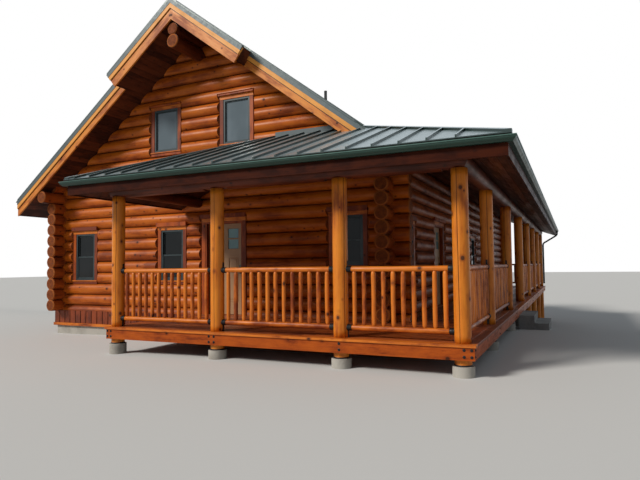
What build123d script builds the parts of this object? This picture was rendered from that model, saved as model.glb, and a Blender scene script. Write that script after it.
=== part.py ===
from build123d import *
from math import asin, cos, sin, sqrt
import os

# A full-log cabin on a sloping site, with a roofed log porch along its front and its right side.
# Millimetres. While it is drawn, X = 0 is the ridge line, +X is right, Y = 0 is the axis of the
# front wall, +Y runs to the rear, and Z = 0 is the lowest ground. Each finished piece is moved so
# that the origin is on the ground under the middle of the whole building.

# Site and floors
FLOOR_LEVEL = 1650
FLOOR_DEPTH = 340
FOUNDATION_WIDTH = 240
LOFT_LEVEL = FLOOR_LEVEL + 2720
LOFT_DEPTH = 250
SKIRT_HEIGHT = 313
SKIRT_THICKNESS = 22
SKIRT_TRIM_HEIGHT = 72
SKIRT_TRIM_THICKNESS = 40

# Log walls, axis to axis
HOUSE_WIDTH = 8940
HOUSE_LENGTH = 17700
LOG_DIAMETER = 300
COURSE = 276.5
CORNER_REACH = 440
PLATE_REACH = 740
FRONT_LOW_LOGS = 7
LEFT_LOGS = 12
RIGHT_LOW_LOGS = 8
RIGHT_LOGS = 13
PLATE_LOG = 10

# Main roof, measured on the metal
PITCH = 0.766
RIDGE_HEIGHT = 8560
RAKE_REACH = 812
PROW_REACH = 340
PROW_HALF_WIDTH = 1840
EAVE_REACH = 870
ROOF_DEPTH = 390
METAL_DEPTH = 15
METAL_LIP = 45
SEAM_PITCH = 373
SEAM_WIDTH = 24
SEAM_HEIGHT = 36
RIDGE_CAP_WIDTH = 340

# Boards along the rakes
BARGE_THICKNESS = 38
BARGE_DEPTH = 400
PROW_BARGE_DEPTH = 460
BARGE_TRIM_THICKNESS = 24
BARGE_TRIM_TOP = 113
BARGE_TRIM_BOTTOM = 220
RAKE_METAL_THICKNESS = 30
EAVE_BOARD_THICKNESS = 38

# Ridge logs and vent
UPPER_RIDGE_LOG = 260
UPPER_RIDGE_HEIGHT = FLOOR_LEVEL + 6257
LOWER_RIDGE_LOG = 300
LOWER_RIDGE_HEIGHT = FLOOR_LEVEL + 5994
RIDGE_LOG_SETBACK = 25
VENT_DIAMETER = 85
VENT_X = 1269
VENT_Y = 4187
VENT_TOP = 7875

# Porch roof, measured on the metal
PORCH_PITCH = 0.365
PORCH_EAVE_HEIGHT = FLOOR_LEVEL + 2657
PORCH_EAVE_REACH = 631
PORCH_ROOF_DEPTH = 300
LEFT_HIP_RUN = 2540
LEFT_EAVE_REACH = 477
HIP_CAP_WIDTH = 130
PORCH_SEAM_START = 6431
FLASHING_HEIGHT = 100
FLASHING_THICKNESS = 8
GUTTER_WIDTH = 110
GUTTER_DROP = 20
GUTTER_HEIGHT = 78
GUTTER_WALL = 4
METAL_OVER_GUTTER = 50
FASCIA_THICKNESS = 30
FASCIA_BOTTOM = FLOOR_LEVEL + 2400
DOWNSPOUT_WIDTH = 75
DOWNSPOUT_END = 120

# Porch
PORCH_DEPTH = 2770
PORCH_SIDE = 2060
PORCH_LEFT_OF_RIDGE = 130
DECK_THICKNESS = 38
NOSING = 25
RIM_HEIGHT = 175
RIM_THICKNESS = 45
JOIST_HEIGHT = 150
JOIST_THICKNESS = 45
JOIST_SPACING = 600
POST_DIAMETER = 236
POST_SETBACK = 208
BEAM_DIAMETER = 270
BEAM_UNDERSIDE = 2390
BEAM_SEAT = 25
LEFT_BEAM_DIAMETER = 220
PIER_DIAMETER = 305
PIER_DROP = 310
REAR_PIER_DROP = 750
GROUND_FALL = 0.0945
FRONT_POSTS = (0, 2242, 4508)
SIDE_POSTS = (0, 3190, 6430)
REAR_SIDE_BAYS = 4
OPEN_BAY = 1

# Railings
RAIL_TOP = 1067
RAIL_DIAMETER = 83
LOW_RAIL_AXIS = 150
BALUSTER_DIAMETER = 58
BALUSTER_SPACING = 152
BALUSTER_SIDES = 6
BRACKET_DIAMETER = 100
BRACKET_LENGTH = 60

# Steps at the right side
STEP_START = 3850
STEP_WIDTH = 1450
STEP_TREAD = 320
STEP_RISE = 180

# Windows: centre, sill height, width and height, seen from outside
LOWER_WINDOW = (650, 1190)
SMALL_WINDOW = (650, 1010)
UPPER_WINDOW = (700, 1020)
SIDE_WINDOW = (650, 1190)
FRONT_WINDOW_X = (-3630, -815)
FRONT_SMALL_WINDOW_X = 3645
UPPER_WINDOW_X = (-1000, 1000)
LOWER_SILL = 770
SMALL_SILL = 1080
UPPER_SILL = 3840
RIGHT_WINDOW_Y = (1120, 9250, 13750)
LEFT_WINDOW_Y = (3000, 8850, 14700)
REAR_WINDOW_X = (-2500, 2500)
FRAME_WIDTH = 45
FRAME_BACK = -20
FRAME_FACE = 98
SASH_RAIL = 40
SASH_BACK = 30
SASH_FACE = 70
GLASS_BACK = 40
GLASS_THICKNESS = 20
CASING_WIDTH = 95
CASING_THICKNESS = 24
SILL_CASING = 45
RECESS_FACE = 84
RECESS_MARGIN = 14
RECESS_TAPER = 35

# Doors, hinged at their left edge and opening inward
FRONT_DOOR_X = 642
SIDE_DOOR_Y = 3950
DOOR_WIDTH = 914
DOOR_HEIGHT = 2032
DOOR_THICKNESS = 45
DOOR_FACE = 10
DOOR_GAP = 8
THRESHOLD = 12
JAMB = 35
JAMB_BACK = -52
STOP = 15
STOP_DEPTH = 20
STOP_GAP = 6
KNUCKLE_DIAMETER = 13
KNUCKLE_HEIGHT = 90
HINGE_INSET = 2
HINGE_PLATE = 4
HINGE_HEIGHTS = (180, 1000, 1820)
FIT = 0.3
LITE_WIDTH = 276
LITE_HEIGHT = 208
LITE_BAR = 30
LITE_BOTTOM = 1485
LITE_MIDDLE = 128
DOOR_PANEL_WIDTH = 233
DOOR_PANEL_BOTTOM = 320
DOOR_PANEL_TOP = 1267
DOOR_PANEL_DEPTH = 10
KNOB_FROM_EDGE = 62
KNOB_HEIGHT = 955
KNOB_DIAMETER = 56
KNOB_REACH = 62
ROSE_DIAMETER = 64
ROSE_THICKNESS = 8
STEM_DIAMETER = 24
BOLT_HEIGHT = 1090
BOLT_THICKNESS = 18

# Derived places
LOG_R = LOG_DIAMETER / 2
BED = sqrt(LOG_R**2 - (COURSE / 2) ** 2)
WALL_X = HOUSE_WIDTH / 2
WALL_FACE_Y = -LOG_R
PORCH_EDGE_X = WALL_X + PORCH_SIDE
PORCH_EDGE_Y = -PORCH_DEPTH
DECK_LEFT = -PORCH_LEFT_OF_RIDGE
DECK_REAR = HOUSE_LENGTH + LOG_R
POST_X = PORCH_EDGE_X - POST_SETBACK
POST_Y = PORCH_EDGE_Y + POST_SETBACK
POST_R = POST_DIAMETER / 2
EAVE_X = PORCH_EDGE_X + PORCH_EAVE_REACH
EAVE_Y = PORCH_EDGE_Y - PORCH_EAVE_REACH
HIP_LEFT = DECK_LEFT - LEFT_EAVE_REACH
LEFT_EAVE_X = -WALL_X - EAVE_REACH
RAKE_FACE = RAKE_REACH - RAKE_METAL_THICKNESS
RAKE_ROOF = RAKE_FACE - BARGE_THICKNESS
BREAK_X = (RIDGE_HEIGHT - PORCH_EAVE_HEIGHT - PORCH_PITCH * EAVE_X) / (PITCH - PORCH_PITCH)
BREAK_Y = EAVE_Y + EAVE_X - BREAK_X
LEFT_PITCH = PORCH_PITCH * (WALL_FACE_Y - EAVE_Y) / LEFT_HIP_RUN
ROOF_INSET = GUTTER_WIDTH + FASCIA_THICKNESS
BEAM_R = BEAM_DIAMETER / 2
BEAM_AXIS = FLOOR_LEVEL + BEAM_UNDERSIDE + BEAM_R
POST_TOP = FLOOR_LEVEL + BEAM_UNDERSIDE + BEAM_SEAT
RAIL_AXIS = FLOOR_LEVEL + RAIL_TOP - RAIL_DIAMETER / 2
FRONT_SPLIT = FLOOR_LEVEL + COURSE / 2 + FRONT_LOW_LOGS * COURSE
RIGHT_SPLIT = FLOOR_LEVEL + RIGHT_LOW_LOGS * COURSE
DECK_UNDER = FLOOR_LEVEL - DECK_THICKNESS
LEAF_BOTTOM = THRESHOLD + DOOR_GAP
DOORWAY_HALF = DOOR_WIDTH / 2 + DOOR_GAP + JAMB
DOORWAY_HEIGHT = LEAF_BOTTOM + DOOR_HEIGHT + DOOR_GAP + JAMB
REAR_BAY = (HOUSE_LENGTH - SIDE_POSTS[-1]) / REAR_SIDE_BAYS
FRONT_POST_X = (*FRONT_POSTS, POST_X)
REAR_POSTS = tuple(SIDE_POSTS[-1] + REAR_BAY * (i + 1) for i in range(REAR_SIDE_BAYS))
SIDE_POST_Y = (*SIDE_POSTS, *REAR_POSTS)
TALL = 2 * RIDGE_HEIGHT
TO_ORIGIN = Location(
    (
        -(LEFT_EAVE_X + EAVE_X) / 2,
        -(EAVE_Y + HOUSE_LENGTH + RAKE_REACH + PROW_REACH) / 2,
        0,
    )
)


def main_top(x):
    """Height of the main roof's metal at x."""
    return RIDGE_HEIGHT - PITCH * abs(x)


def front_top(y):
    """Height of the porch roof's front slope at y."""
    return PORCH_EAVE_HEIGHT + PORCH_PITCH * (y - EAVE_Y)


def right_top(x):
    """Height of the porch roof's right slope at x."""
    return PORCH_EAVE_HEIGHT + PORCH_PITCH * (EAVE_X - x)


def left_top(x):
    """Height of the porch roof's left slope at x."""
    return PORCH_EAVE_HEIGHT + LEFT_PITCH * (x - HIP_LEFT)


def across(y):
    """The upright plane at y, with X to the right and Z up. Its solids grow towards -Y."""
    return Plane.XZ.offset(-y)


def along(x):
    """The upright plane at x, with Y to the right and Z up. Its solids grow towards +X."""
    return Plane.YZ.offset(x)


def square_end(x, drop):
    """The point on a cut square to the main roof's right slope at x, that far below the metal."""
    step = drop / (1 + PITCH**2)
    return x - PITCH * step, main_top(x) - step


os.makedirs("parts", exist_ok=True)


def keep(builder, name):
    """Names a finished piece and writes it in the building's own frame."""
    builder.part.label = name
    export_step(builder.part.moved(TO_ORIGIN), f"parts/{name}.step")


# Log walls


def log_stack(axis, base, logs, half_log=False):
    """The section of a wall of bedded logs, drawn about its axis from the bed at base."""
    bed_heights = [base + COURSE * i for i in range(logs + 1)]
    with BuildLine() as outline:
        for side in (1, -1):
            for low in bed_heights[:-1]:
                ThreePointArc(
                    (axis + side * BED, low),
                    (axis + side * LOG_R, low + COURSE / 2),
                    (axis + side * BED, low + COURSE),
                )
            if half_log:
                turn = asin(COURSE / 2 / LOG_R) / 2
                ThreePointArc(
                    (axis + side * LOG_R, base - COURSE / 2),
                    (axis + side * LOG_R * cos(turn), base - COURSE / 2 + LOG_R * sin(turn)),
                    (axis + side * BED, base),
                )
        foot = LOG_R if half_log else BED
        floor = base - COURSE / 2 if half_log else base
        Line((axis - foot, floor), (axis + foot, floor))
        Line((axis - BED, bed_heights[-1]), (axis + BED, bed_heights[-1]))
    make_face(outline.edges())


def corner_block(x, y, low, high):
    """The squared heart of a corner, where the notched logs of both walls cross."""
    with BuildSketch(Plane.XY.offset(low)) as section:
        with Locations((x, y)):
            Rectangle(LOG_DIAMETER, LOG_DIAMETER)
    extrude(section.sketch, amount=high - low)


def trim_under_roof():
    """Cuts a wall off along the undersides of the roofs."""
    far = WALL_X + CORNER_REACH
    with BuildSketch(across(HOUSE_LENGTH + PLATE_REACH)) as section:
        with BuildLine() as outline:
            Polyline(
                (-far, 0),
                (-far, main_top(far) - ROOF_DEPTH),
                (0, main_top(0) - ROOF_DEPTH),
                (BREAK_X, main_top(BREAK_X) - ROOF_DEPTH),
                (BREAK_X, right_top(BREAK_X) - PORCH_ROOF_DEPTH),
                (far, right_top(far) - PORCH_ROOF_DEPTH),
                (far, 0),
                close=True,
            )
        make_face(outline.edges())
    extrude(section.sketch, amount=HOUSE_LENGTH + 2 * PLATE_REACH, mode=Mode.INTERSECT)


def front_place(x, height, y=0):
    """A plane on the front wall's axis, looking out, with its X to the viewer's right."""
    return Plane(origin=(x, y, FLOOR_LEVEL + height), x_dir=(1, 0, 0), z_dir=(0, -1, 0))


def rear_place(x, height):
    return Plane(
        origin=(x, HOUSE_LENGTH, FLOOR_LEVEL + height), x_dir=(-1, 0, 0), z_dir=(0, 1, 0)
    )


def right_place(y, height):
    return Plane(origin=(WALL_X, y, FLOOR_LEVEL + height), x_dir=(0, 1, 0), z_dir=(1, 0, 0))


def left_place(y, height):
    return Plane(origin=(-WALL_X, y, FLOOR_LEVEL + height), x_dir=(0, -1, 0), z_dir=(-1, 0, 0))


def panel(place, offset, depth, left, right, bottom, top, mode=Mode.ADD):
    """A box on a place: from left to right, bottom to top, and from offset outwards by depth."""
    with BuildSketch(place.offset(offset)) as section:
        with Locations(((left + right) / 2, (bottom + top) / 2)):
            Rectangle(right - left, top - bottom)
    extrude(section.sketch, amount=depth, mode=mode)


def cut_opening(place, left, right, bottom, top, below):
    """Cuts an opening through the logs, and the bevelled recess that its casing lies in."""
    panel(place, -LOG_DIAMETER, 2 * LOG_DIAMETER, left, right, bottom, top, Mode.SUBTRACT)
    stages = []
    for offset, grow in ((RECESS_FACE, 0), (LOG_R, RECESS_TAPER)):
        side = CASING_WIDTH + RECESS_MARGIN + grow
        foot = bottom - (below + RECESS_MARGIN + grow if below else 0)
        head = top + side
        with BuildSketch(place.offset(offset)) as section:
            with Locations(((left + right) / 2, (foot + head) / 2)):
                Rectangle(right - left + 2 * side, head - foot)
        stages.append(section.sketch.face())
    loft(stages, mode=Mode.SUBTRACT)


def cut_window(place, size):
    width, height = size
    cut_opening(place, -width / 2, width / 2, 0, height, SILL_CASING)


def cut_doorway(place):
    cut_opening(place, -DOORWAY_HALF, DOORWAY_HALF, 0, DOORWAY_HEIGHT, 0)


FRONT_WINDOWS = [(front_place(x, LOWER_SILL), LOWER_WINDOW) for x in FRONT_WINDOW_X]
SMALL_WINDOWS = [(front_place(FRONT_SMALL_WINDOW_X, SMALL_SILL), SMALL_WINDOW)]
UPPER_WINDOWS = [(front_place(x, UPPER_SILL), UPPER_WINDOW) for x in UPPER_WINDOW_X]
RIGHT_WINDOWS = [(right_place(y, LOWER_SILL), SIDE_WINDOW) for y in RIGHT_WINDOW_Y]
LEFT_WINDOWS = [(left_place(y, LOWER_SILL), SIDE_WINDOW) for y in LEFT_WINDOW_Y]
REAR_WINDOWS = [(rear_place(x, LOWER_SILL), LOWER_WINDOW) for x in REAR_WINDOW_X]
REAR_UPPER_WINDOWS = [(rear_place(x, UPPER_SILL), UPPER_WINDOW) for x in UPPER_WINDOW_X]
FRONT_DOORWAY = front_place(FRONT_DOOR_X, 0)
SIDE_DOORWAY = right_place(SIDE_DOOR_Y, 0)
WALL_END = WALL_X + CORNER_REACH

with BuildPart() as front_wall_left:
    with BuildSketch(along(-WALL_END)):
        log_stack(0, FLOOR_LEVEL + COURSE / 2, FRONT_LOW_LOGS, half_log=True)
    extrude(amount=WALL_END + FRONT_DOOR_X - DOORWAY_HALF)
    corner_block(-WALL_X, 0, FLOOR_LEVEL, FRONT_SPLIT)
    for place, size in FRONT_WINDOWS:
        cut_window(place, size)
    cut_doorway(FRONT_DOORWAY)
keep(front_wall_left, "front_wall_left")

with BuildPart() as front_wall_right:
    with BuildSketch(along(FRONT_DOOR_X + DOORWAY_HALF)):
        log_stack(0, FLOOR_LEVEL + COURSE / 2, FRONT_LOW_LOGS, half_log=True)
    extrude(amount=WALL_END - FRONT_DOOR_X - DOORWAY_HALF)
    corner_block(WALL_X, 0, FLOOR_LEVEL, FRONT_SPLIT)
    for place, size in SMALL_WINDOWS:
        cut_window(place, size)
    cut_doorway(FRONT_DOORWAY)
keep(front_wall_right, "front_wall_right")

GABLE_LOGS = int((RIDGE_HEIGHT - FRONT_SPLIT) / COURSE) + 1


def ridge_log_section():
    """The two ridge logs, one bedded on the other."""
    with Locations((0, UPPER_RIDGE_HEIGHT)):
        Circle(UPPER_RIDGE_LOG / 2)
    with Locations((0, LOWER_RIDGE_HEIGHT)):
        Circle(LOWER_RIDGE_LOG / 2)


with BuildPart() as front_gable:
    with BuildSketch(along(-WALL_END)):
        log_stack(0, FRONT_SPLIT, GABLE_LOGS)
    extrude(amount=2 * WALL_END)
    for side in (-1, 1):
        corner_block(side * WALL_X, 0, FRONT_SPLIT, RIDGE_HEIGHT)
    trim_under_roof()
    with BuildSketch(across(LOG_DIAMETER)):
        ridge_log_section()
    extrude(amount=2 * LOG_DIAMETER, mode=Mode.SUBTRACT)
    for place, size in UPPER_WINDOWS + FRONT_WINDOWS + SMALL_WINDOWS:
        cut_window(place, size)
    cut_doorway(FRONT_DOORWAY)
keep(front_gable, "front_gable")

with BuildPart() as rear_wall:
    with BuildSketch(along(-WALL_END)):
        log_stack(HOUSE_LENGTH, FLOOR_LEVEL + COURSE / 2, FRONT_LOW_LOGS, half_log=True)
    extrude(amount=2 * WALL_END)
    for side in (-1, 1):
        corner_block(side * WALL_X, HOUSE_LENGTH, FLOOR_LEVEL, FRONT_SPLIT)
    for place, size in REAR_WINDOWS:
        cut_window(place, size)
keep(rear_wall, "rear_wall")

with BuildPart() as rear_gable:
    with BuildSketch(along(-WALL_END)):
        log_stack(HOUSE_LENGTH, FRONT_SPLIT, GABLE_LOGS)
    extrude(amount=2 * WALL_END)
    for side in (-1, 1):
        corner_block(side * WALL_X, HOUSE_LENGTH, FRONT_SPLIT, RIDGE_HEIGHT)
    trim_under_roof()
    with BuildSketch(across(HOUSE_LENGTH + LOG_DIAMETER)):
        ridge_log_section()
    extrude(amount=2 * LOG_DIAMETER, mode=Mode.SUBTRACT)
    for place, size in REAR_UPPER_WINDOWS + REAR_WINDOWS:
        cut_window(place, size)
keep(rear_gable, "rear_gable")

with BuildPart() as left_wall:
    with BuildSketch(across(HOUSE_LENGTH - LOG_R)):
        log_stack(-WALL_X, FLOOR_LEVEL, LEFT_LOGS)
    extrude(amount=HOUSE_LENGTH - LOG_DIAMETER)
    trim_under_roof()
    for place, size in LEFT_WINDOWS:
        cut_window(place, size)
keep(left_wall, "left_wall")

DOORWAY_FRONT = SIDE_DOOR_Y - DOORWAY_HALF
DOORWAY_REAR = SIDE_DOOR_Y + DOORWAY_HALF

with BuildPart() as right_wall_front:
    with BuildSketch(across(DOORWAY_FRONT)):
        log_stack(WALL_X, FLOOR_LEVEL, RIGHT_LOW_LOGS)
    extrude(amount=DOORWAY_FRONT - LOG_R)
    cut_window(*RIGHT_WINDOWS[0])
    cut_doorway(SIDE_DOORWAY)
keep(right_wall_front, "right_wall_front")

with BuildPart() as right_wall_rear:
    with BuildSketch(across(HOUSE_LENGTH - LOG_R)):
        log_stack(WALL_X, FLOOR_LEVEL, RIGHT_LOW_LOGS)
    extrude(amount=HOUSE_LENGTH - LOG_R - DOORWAY_REAR)
    for place, size in RIGHT_WINDOWS[1:]:
        cut_window(place, size)
    cut_doorway(SIDE_DOORWAY)
keep(right_wall_rear, "right_wall_rear")

with BuildPart() as right_wall_top:
    with BuildSketch(across(HOUSE_LENGTH - LOG_R)):
        log_stack(WALL_X, RIGHT_SPLIT, RIGHT_LOGS - RIGHT_LOW_LOGS)
    extrude(amount=HOUSE_LENGTH - LOG_DIAMETER)
    with BuildSketch(across(DOORWAY_REAR)):
        log_stack(WALL_X, RIGHT_SPLIT - COURSE, 1)
    extrude(amount=2 * DOORWAY_HALF)
    cut_doorway(SIDE_DOORWAY)
    trim_under_roof()
keep(right_wall_top, "right_wall_top")

PLATE_AXIS = FLOOR_LEVEL + (PLATE_LOG + 0.5) * COURSE


def corner_stack(face, side, logs):
    """The side wall's log ends beyond one corner."""
    with BuildPart() as stack:
        with BuildSketch(across(face)):
            log_stack(side * WALL_X, FLOOR_LEVEL, logs)
        extrude(amount=CORNER_REACH - LOG_R)
        trim_under_roof()
    return stack.part


def plate_end(face):
    """The end of the left wall's plate log, which reaches on beyond the others."""
    with BuildPart() as log:
        with BuildSketch(across(face)):
            with Locations((-WALL_X, PLATE_AXIS)):
                Circle(LOG_R)
        extrude(amount=PLATE_REACH - LOG_R)
        trim_under_roof()
    return log.part


with BuildPart() as corner_log_ends:
    for face in (WALL_FACE_Y, HOUSE_LENGTH + CORNER_REACH):
        for side, logs in ((-1, LEFT_LOGS), (1, RIGHT_LOGS)):
            add(corner_stack(face, side, logs))
    for face in (WALL_FACE_Y, HOUSE_LENGTH + PLATE_REACH):
        add(plate_end(face))
keep(corner_log_ends, "corner_log_ends")

# Foundation and floors
FOUNDATION_TOP = FLOOR_LEVEL - FLOOR_DEPTH
HOUSE_MIDDLE = (0, HOUSE_LENGTH / 2)

with BuildPart() as foundation:
    with BuildSketch():
        with Locations(HOUSE_MIDDLE):
            Rectangle(HOUSE_WIDTH + FOUNDATION_WIDTH, HOUSE_LENGTH + FOUNDATION_WIDTH)
            Rectangle(
                HOUSE_WIDTH - FOUNDATION_WIDTH,
                HOUSE_LENGTH - FOUNDATION_WIDTH,
                mode=Mode.SUBTRACT,
            )
    extrude(amount=FOUNDATION_TOP)
keep(foundation, "foundation")

with BuildPart() as main_floor:
    with BuildSketch(Plane.XY.offset(FOUNDATION_TOP)):
        with Locations(HOUSE_MIDDLE):
            Rectangle(HOUSE_WIDTH + LOG_DIAMETER, HOUSE_LENGTH + LOG_DIAMETER)
    extrude(amount=FLOOR_DEPTH)
keep(main_floor, "main_floor")

with BuildPart() as loft_floor:
    with BuildSketch(Plane.XY.offset(LOFT_LEVEL - LOFT_DEPTH)):
        with Locations(HOUSE_MIDDLE):
            Rectangle(HOUSE_WIDTH - LOG_DIAMETER, HOUSE_LENGTH - LOG_DIAMETER)
    extrude(amount=LOFT_DEPTH)
keep(loft_floor, "loft_floor")


def skirt_band(thickness):
    """The plan of a board that runs along the front, the left side and the rear of the floor."""
    with BuildLine() as outline:
        x = -WALL_X - LOG_R
        front = WALL_FACE_Y
        rear = HOUSE_LENGTH + LOG_R
        Polyline(
            (DECK_LEFT, front),
            (x, front),
            (x, rear),
            (-x, rear),
            (-x, rear + thickness),
            (x - thickness, rear + thickness),
            (x - thickness, front - thickness),
            (DECK_LEFT, front - thickness),
            close=True,
        )
    make_face(outline.edges())


with BuildPart() as skirt_boards:
    with BuildSketch(Plane.XY.offset(FLOOR_LEVEL - SKIRT_HEIGHT)):
        skirt_band(SKIRT_THICKNESS)
    extrude(amount=SKIRT_HEIGHT)
    with BuildSketch(Plane.XY.offset(FLOOR_LEVEL - SKIRT_HEIGHT)):
        skirt_band(SKIRT_TRIM_THICKNESS)
    extrude(amount=-SKIRT_TRIM_HEIGHT)
keep(skirt_boards, "skirt_boards")

# Main roof


def main_profile(high, low, half_width):
    """The section of both main slopes between two drops below the metal, with square ends."""
    right = [square_end(half_width, high), square_end(half_width, low)]
    left = [(-x, z) for x, z in right]
    with BuildLine() as outline:
        Polyline(
            (0, main_top(0) - high),
            right[0],
            right[1],
            (0, main_top(0) - low),
            left[1],
            left[0],
            close=True,
        )
    make_face(outline.edges())


def slope_profile(x0, x1, high, low):
    """The section of one main slope from x0 to x1, between two drops below the metal."""
    with BuildLine() as outline:
        Polyline(
            (x0, main_top(x0) - high),
            (x1, main_top(x1) - high),
            (x1, main_top(x1) - low),
            (x0, main_top(x0) - low),
            close=True,
        )
    make_face(outline.edges())


MEET_X = (RIDGE_HEIGHT - front_top(-RAKE_REACH)) / PITCH
MEET_WALL_X = (RIDGE_HEIGHT - front_top(WALL_FACE_Y)) / PITCH
HIP_END = HIP_LEFT + LEFT_HIP_RUN
LEFT_SLANT = (WALL_FACE_Y - EAVE_Y) / LEFT_HIP_RUN
ROOF_LENGTH = HOUSE_LENGTH + 2 * RAKE_ROOF
PROW_ROOF = RAKE_ROOF + PROW_REACH
PORCH_REAR = HOUSE_LENGTH + RAKE_ROOF
METAL_FRONT = -RAKE_REACH
METAL_REAR = HOUSE_LENGTH + RAKE_REACH
METAL_INSET = GUTTER_WIDTH - METAL_OVER_GUTTER
CAP_HALF = RIDGE_CAP_WIDTH / 2
HIP_GAP = HIP_CAP_WIDTH / sqrt(2)


def sloped_part(plane, length, band, outline):
    """A sloping layer: a band drawn on an upright plane, kept within an outline seen from above."""
    with BuildPart() as layer:
        with BuildSketch(plane):
            with BuildLine():
                Polyline(*band, close=True)
            make_face()
        extrude(amount=length)
        with BuildSketch():
            with BuildLine():
                Polyline(*outline, close=True)
            make_face()
        extrude(amount=TALL, mode=Mode.INTERSECT)
    return layer.part


def front_layer(high, low, outline):
    """A layer of the porch roof's front slope, between two drops below the metal."""
    rise = front_top(WALL_FACE_Y)
    band = [
        (EAVE_Y, PORCH_EAVE_HEIGHT - high),
        (WALL_FACE_Y, rise - high),
        (WALL_FACE_Y, rise - low),
        (EAVE_Y, PORCH_EAVE_HEIGHT - low),
    ]
    return sloped_part(along(HIP_LEFT), EAVE_X - HIP_LEFT, band, outline)


def right_layer(high, low, outline):
    """A layer of the porch roof's right slope."""
    rise = right_top(BREAK_X)
    band = [
        (EAVE_X, PORCH_EAVE_HEIGHT - high),
        (BREAK_X, rise - high),
        (BREAK_X, rise - low),
        (EAVE_X, PORCH_EAVE_HEIGHT - low),
    ]
    return sloped_part(across(METAL_REAR), METAL_REAR - EAVE_Y, band, outline)


def left_layer(high, low, outline):
    """A layer of the porch roof's short left slope."""
    rise = left_top(HIP_END)
    band = [
        (HIP_LEFT, PORCH_EAVE_HEIGHT - high),
        (HIP_END, rise - high),
        (HIP_END, rise - low),
        (HIP_LEFT, PORCH_EAVE_HEIGHT - low),
    ]
    return sloped_part(across(WALL_FACE_Y), WALL_FACE_Y - EAVE_Y, band, outline)


def front_outline(inset, gap=0):
    """The front slope seen from above, its eaves drawn in by inset and its hips by gap."""
    left = HIP_LEFT + inset + gap
    corner = [(left, EAVE_Y + inset)] if inset else []
    return corner + [
        (EAVE_X - inset - gap, EAVE_Y + inset),
        (BREAK_X - gap, BREAK_Y),
        (MEET_WALL_X - gap, WALL_FACE_Y),
        (HIP_END + gap, WALL_FACE_Y),
        (left, EAVE_Y + LEFT_SLANT * inset),
    ]


def right_outline(inset, rear, gap=0):
    """The right slope seen from above."""
    return [
        (BREAK_X, BREAK_Y + gap),
        (EAVE_X - inset, EAVE_Y + inset + gap),
        (EAVE_X - inset, rear),
        (BREAK_X, rear),
    ]


def left_outline(inset, gap=0):
    """The left slope seen from above."""
    left = HIP_LEFT + inset
    return [
        (left, EAVE_Y + LEFT_SLANT * (inset + gap)),
        (HIP_END - gap, WALL_FACE_Y),
        (left, WALL_FACE_Y),
    ]


FRONT_CUTTER = front_layer(0, TALL / 2, front_outline(0))


def cut_beyond_break():
    """Takes away what lies right of the pitch break and of the hip that runs down from it."""
    with BuildSketch() as section:
        with BuildLine() as outline:
            Polyline(*right_outline(0, METAL_REAR), close=True)
        make_face(outline.edges())
    extrude(section.sketch, amount=TALL, mode=Mode.SUBTRACT)


def add_prow(side, high, low, front, rear):
    """One slope's share of the roof that runs on at both ends of the ridge."""
    for y in (front, rear):
        with BuildSketch(across(y)) as section:
            main_profile(high, low, PROW_HALF_WIDTH)
            with Locations((-side * WALL_X, 0)):
                Rectangle(2 * WALL_X, 2 * TALL, mode=Mode.SUBTRACT)
        extrude(section.sketch, amount=PROW_REACH)


def seam_centres(first, last):
    """Evenly pitched seams between two places."""
    count = int((last - first) / SEAM_PITCH)
    start = (first + last - (count - 1) * SEAM_PITCH) / 2
    return [start + i * SEAM_PITCH for i in range(count)]


MAIN_SEAMS = seam_centres(METAL_FRONT, METAL_REAR)


def seam_strips(places, low, high, along_x):
    """Upright strips as wide as a seam, one at each place, to be kept only within a layer."""
    middle = (low + high) / 2
    size = (high - low, SEAM_WIDTH) if along_x else (SEAM_WIDTH, high - low)
    with BuildPart() as strips:
        with BuildSketch():
            with Locations(*[(middle, p) if along_x else (p, middle) for p in places]):
                Rectangle(*size)
        extrude(amount=TALL)
    return strips.part


def main_seams(side, edge):
    """The standing seams of one main slope, from the ridge cap down to the eave."""
    low, high = sorted((side * CAP_HALF, side * edge))
    with BuildPart() as seams:
        with BuildSketch(across(METAL_REAR)):
            slope_profile(side * CAP_HALF, side * edge, -SEAM_HEIGHT, 0)
        extrude(amount=METAL_REAR - METAL_FRONT)
        add(seam_strips(MAIN_SEAMS, low, high, True), mode=Mode.INTERSECT)
    return seams.part


for side, name in ((-1, "left"), (1, "right")):
    roof_edge = -LEFT_EAVE_X - METAL_LIP - EAVE_BOARD_THICKNESS if side < 0 else MEET_X
    metal_edge = -LEFT_EAVE_X if side < 0 else MEET_X
    with BuildPart() as main_roof:
        with BuildSketch(across(HOUSE_LENGTH + RAKE_ROOF)):
            slope_profile(0, side * roof_edge, METAL_DEPTH, ROOF_DEPTH)
        extrude(amount=ROOF_LENGTH)
        if side > 0:
            cut_beyond_break()
            add(FRONT_CUTTER, mode=Mode.SUBTRACT)
        add_prow(side, METAL_DEPTH, ROOF_DEPTH, -RAKE_ROOF, HOUSE_LENGTH + PROW_ROOF)
    keep(main_roof, f"main_roof_{name}")

    with BuildPart() as main_metal:
        with BuildSketch(across(METAL_REAR)):
            slope_profile(0, side * metal_edge, 0, METAL_DEPTH)
        extrude(amount=METAL_REAR - METAL_FRONT)
        add(main_seams(side, metal_edge))
        if side > 0:
            cut_beyond_break()
            add(FRONT_CUTTER, mode=Mode.SUBTRACT)
        add_prow(side, 0, METAL_DEPTH, METAL_FRONT, METAL_REAR + PROW_REACH)
    keep(main_metal, f"main_metal_{name}")

with BuildPart() as ridge_logs:
    with BuildSketch(across(HOUSE_LENGTH + PROW_ROOF - RIDGE_LOG_SETBACK)):
        ridge_log_section()
    extrude(amount=HOUSE_LENGTH + 2 * (PROW_ROOF - RIDGE_LOG_SETBACK))
keep(ridge_logs, "ridge_logs")

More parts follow.
